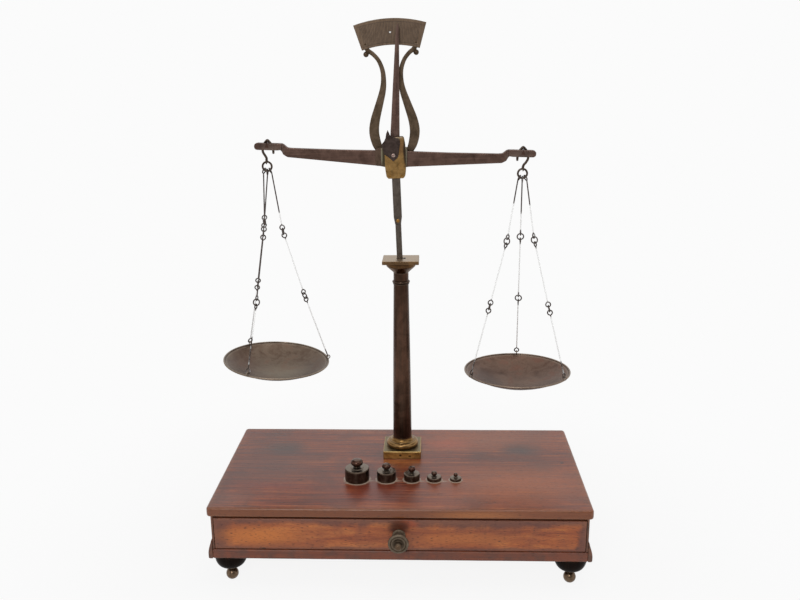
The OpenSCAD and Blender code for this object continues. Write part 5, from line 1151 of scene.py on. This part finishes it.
# Pans: beaten dishes on three wire legs, in mm
panShape = {"radius": 60.6, "depth": 17.5, "sheet": 0.9, "bead": 0.95, "beaten": 0.12, "beat": 7,
    "plainRim": 1.5, "eyelet": 2.1, "eyeletWire": 0.55, "eyeletHeight": 1.9, "eyeletInset": 0.6}
# each leg: its direction, its place on the hook's ring, the heights of its two joints, the turns of the
# joints' faces and how far the wire of each link is dark, from its top and from its foot
leftPan = {"finish": "panBrass", "hang": 248.5, "lean": hookShape["leftLean"], "tilt": 1.6, "roll": 4.1,
    "bow": 4.6, "legs": ((15, 1, (0.31, 0.654), (0, 45), ((42, 0), (0, 0), (0, 3))),
        (132, -1, (0.272, 0.632), (30, 10), ((90, 0), (70, 0), (0, 0))),
        (248, 0, (0.306, 0.648), (10, 75), ((90, 0), (70, 0), (0, 34))))}
rightPan = {"finish": "redPanBrass", "hang": 251.1, "lean": 0, "tilt": -0.6, "roll": 0, "bow": 1.4,
    "legs": ((-35, 1, (0.306, 0.648), (60, 0), ((25, 0), (0, 0), (0, 12))),
        (85, 0, (0.306, 0.66), (90, 80), ((36, 0), (0, 0), (0, 0))),
        (205, -1, (0.314, 0.645), (50, 0), ((23, 0), (0, 0), (0, 12))))}
legShape = {"wire": 0.71, "eye": 2.6, "topEye": 2.9, "joint": 3.6, "topStep": 3.1, "topLean": 25,
    "topTurn": 20, "topDrop": 0.93, "outerRise": 0.25, "jointHold": 1.62, "eyeletHold": 1.42, "neck": 1.22}


def panHang(edge, pan):
    return Matrix.Translation(edge - Vector((pan["lean"], 0, pan["hang"])))


def panPlace(edge, pan):
    return (panHang(edge, pan) @ Matrix.Rotation(math.radians(pan["tilt"]), 4, "X")
        @ Matrix.Rotation(math.radians(pan["roll"]), 4, "Y"))


def legWay(turn):
    angle = math.radians(turn)
    return Vector((math.cos(angle), math.sin(angle), 0))


def eyeletSpot(out):
    return out * (panShape["radius"] - panShape["eyeletInset"]) + Vector((0, 0, panShape["eyeletHeight"]))


def panDish(name, place, pan, shape):
    sphere = (shape["radius"] ** 2 + shape["depth"] ** 2) / (2 * shape["depth"])
    bead, rim, middle = shape["bead"], shape["radius"] - shape["bead"], sphere - shape["depth"]
    wall = arc(0, math.asin(rim / sphere), 30)
    outer, inner = ([(radius * math.sin(a), middle - radius * math.cos(a)) for a in wall]
                    for radius in (sphere, sphere - shape["sheet"]))
    roll = [(rim + bead * math.cos(a), bead * (math.sin(a) - 0.4))
            for a in arc(math.radians(-100), math.radians(190), 12)]
    dish = turned(name, outer + roll + inner[-2::-1], 120)
    plain = rim - shape["plainRim"]
    for vert in dish.vertices:
        flat = vert.co / mm
        if flat.xy.length < plain:
            beat = (noise.noise(flat / shape["beat"] + Vector((len(name), 0, 0)))
                + 0.5 * noise.noise(flat / shape["beat"] * 2))
            vert.co.z += beat * shape["beaten"] * mm * min(1, (plain - flat.xy.length) / 6)
    dish.transform(inMetres(place))
    parts = [dish]
    for leg in pan["legs"]:
        out = legWay(leg[0])
        loop = ringPath(eyeletSpot(out), Vector((0, 0, 1)).cross(out), shape["eyelet"], 26)
        parts.append(tube("eyelet", loop, [shape["eyeletWire"]] * len(loop), 12, True, place))
    return joined(name, parts)


def makeWireTree():
    # round wire along every line of the mesh
    tree, given = newTree("wireLinks", [("Wire radius", "Float"), ("Sides", "Int"), ("Finish", "Material")])
    line = addNode(tree, "GeometryNodeMeshToCurve", {0: given["Geometry"]})
    section = addNode(tree, "GeometryNodeCurvePrimitiveCircle", {0: given["Sides"], 4: given["Wire radius"]})
    wire = addNode(tree, "GeometryNodeCurveToMesh", {0: line, 1: section, 3: True})
    endTree(tree, addNode(tree, "GeometryNodeSetShadeSmooth", {0: wire}), given["Finish"])
    return tree


wireTree = makeWireTree()


def eyeEnd(centre, along, axis, radius):
    # a round eye bent from the wire's end, as points that start and end on the straight wire
    reach = (along - axis * along.dot(axis)).normalized()
    side = axis.cross(reach)
    neck = radius * legShape["neck"]
    gap = math.acos(radius / neck)
    loop = [centre + (reach * math.cos(a) + side * math.sin(a)) * radius
            for a in arc(math.tau - gap, gap, 26)]
    return [centre + reach * neck] + loop + [centre + reach * neck]


def linkPoints(high, low, highAxis, lowAxis, highRadius, lowRadius, dark):
    # points and their patina for one link with an eye at both ends
    along = (low - high).normalized()
    first = eyeEnd(high, along, highAxis, highRadius)
    last = eyeEnd(low, -along, lowAxis, lowRadius)[::-1]
    start, stop = first[-1], last[0]
    run = (stop - start).length
    steps = max(4, int(run / 2))
    straight, fade = [], []
    for i in range(1, steps):
        down = run * i / steps
        straight.append(start + (stop - start) * i / steps)
        fade.append(min(1, max(1 - max(0, down - dark[0]) / 3, 0.8 - max(0, run - down - dark[1]) / 2.5, 0)))
    return first + straight + last, [1] * len(first) + fade + [0.85] * len(last)


def faceTurned(along, angle):
    # square to the wire, looking to the front and then turned about the wire
    ahead = (Vector((0, 1, 0)) - along * along.y).normalized()
    return ahead * math.cos(math.radians(angle)) + along.cross(ahead) * math.sin(math.radians(angle))


def legTop(row, pan, shape):
    # the middle and the axis of the eye that hangs in the hook's ring
    step = row * shape["topStep"]
    lean, twist = (math.radians(row * shape[key]) for key in ("topLean", "topTurn"))
    drop = shape["topDrop"] - abs(row) * shape["outerRise"]
    ringFoot = pan["hang"] - hookShape["drop"] - math.sqrt(hookShape["ringRadius"] ** 2 - step ** 2)
    axis = Vector((math.cos(twist) * math.cos(lean), math.sin(twist), math.cos(twist) * math.sin(lean)))
    return Vector((step + drop * math.sin(lean), 0, ringFoot - drop)), axis


def panLeg(name, edge, pan, leg, shape):
    turn, row, splits, faceTurns, dark = leg
    out = legWay(turn)
    side = panPlace(edge, pan).to_3x3() @ legWay(turn + 90)
    foot = panHang(edge, pan)
    eyelet = foot.inverted() @ (panPlace(edge, pan) @ eyeletSpot(out))
    top, topAxis = legTop(row, pan, shape)
    reach, height = eyelet.xy.length, top.z - eyelet.z
    knots = [out * (reach * part - pan["bow"] * (1 - 0.15 * i)) + Vector((0, 0, top.z - height * part))
             for i, part in enumerate(splits)]
    ups = [(a - b).normalized() for a, b in zip([top] + knots, knots + [eyelet])]
    faces = [faceTurned(ups[up], faceTurns[face]) for up, face in ((0, 0), (1, 0), (1, 1), (2, 1))]
    eye = shape["eye"]
    pitch = eye + shape["joint"] - shape["jointHold"]
    lowPitch = panShape["eyelet"] + eye - shape["eyeletHold"]
    lines = [
        linkPoints(top, knots[0] + ups[0] * pitch, topAxis, faces[0], shape["topEye"], eye, dark[0]),
        linkPoints(knots[0] - ups[1] * pitch, knots[1] + ups[1] * pitch, faces[1], faces[2], eye, eye,
            dark[1]),
        linkPoints(knots[1] - ups[2] * pitch, eyelet + ups[2] * lowPitch, faces[3], side.cross(ups[2]), eye,
            eye, dark[2])]
    points, edges, patina = [], [], []
    for line, marks in lines:
        edges += [(len(points) + i, len(points) + i + 1) for i in range(len(line) - 1)]
        points += line
        patina += marks
    for knot, axis in ((knots[0], ups[0].cross(faces[0])), (knots[1], ups[1].cross(faces[2]))):
        loop = ringPath(knot, axis, shape["joint"], 32)
        edges += [(len(points) + i, len(points) + (i + 1) % len(loop)) for i in range(len(loop))]
        points += loop
        patina += [1] * len(loop)
    mesh = bpy.data.meshes.new(name)
    mesh.from_pydata([(foot @ p) * mm for p in points], edges, [])
    marks = mesh.attributes.new("patina", "FLOAT", "POINT")
    for item, value in zip(marks.data, patina):
        item.value = value
    return grown(name, mesh, wireTree, {"Wire radius": shape["wire"] * mm, "Sides": 12,
        "Finish": finishes["drawnWire"][0]})


for name, edge, pan in (("left_pan", leftEdge, leftPan), ("right_pan", rightEdge, rightPan)):
    dish = panDish(name + "Dish", panPlace(edge, pan), pan, panShape)
    addPiece(name + "Dish", dish, pan["finish"], name, [name + "_dish"], sharp=50)
    for k, leg in enumerate(pan["legs"]):
        addPiece("%sLeg%d" % (name, k + 1), panLeg(name + "Leg", edge, pan, leg, legShape), "drawnWire", name,
            ["%s_leg_%d" % (name, k + 1)], sharp=80, mark=False)
print("Pans and legs ready")


# Weights: turned, with a raised ring round the neck and a mushroom knob
def weightProfile(body, knob):
    radius, height, knobRadius, knobHeight = body[0] / 2, body[1], knob[0] / 2, knob[1]
    edge = min(0.9, height * 0.22)
    neck = height * 1.16 + 0.6
    profile = [(0, 0), (radius - edge * 0.6, 0), (radius - edge * 0.15, edge * 0.2), (radius, edge * 0.7)]
    profile += [(radius, height - edge), (radius - edge * 0.25, height - edge * 0.35),
        (radius - edge * 0.9, height)]
    profile += [(radius * 0.72, height + 0.15)]
    profile += [(knobRadius * wide, height + up) for wide, up in ((1.08, 0.2), (1.02, 0.55), (0.86, 0.75),
        (0.66, 0.7), (0.56, 1))]
    profile += [(knobRadius * 0.5, (height + 1 + neck) / 2), (knobRadius * 0.52, neck)]
    half = knobHeight * 0.5
    profile += [(knobRadius * abs(math.cos(a)) ** 0.55, neck + half + half * math.sin(a))
                for a in arc(math.radians(-66), math.radians(82), 18)]
    return profile + [(0, neck + knobHeight)]


for i, (body, knob) in enumerate(zip(weightShape["bodies"], weightShape["knobs"])):
    low, mid, node = weightBoxes[i][0], sum(weightBoxes[i], Vector()) / 2, "weight_%d" % (i + 1)
    spot = Matrix.Translation((mid.x, mid.y, low.z))
    addPiece("knobWeight%d" % (i + 1), turned("knobWeight", weightProfile(body, knob), 64, spot),
        "weightBronze", node, [node], sharp=30)

# The hidden fastenings and the sharp knives keep their CAD shape
for node, finish in (("column_bolt", "oiledIron"), ("column_nut", "oiledIron"), ("knob_screw", "turnedBrass"),
        ("centre_knife", "hookIron"), ("left_knife", "brownedSteel"), ("right_knife", "brownedSteel")):
    frame["nodes"][node].material_slots[0].material = finishes[finish][0]
print("Weights ready")

bpy.context.scene.view_settings.view_transform = "Standard"
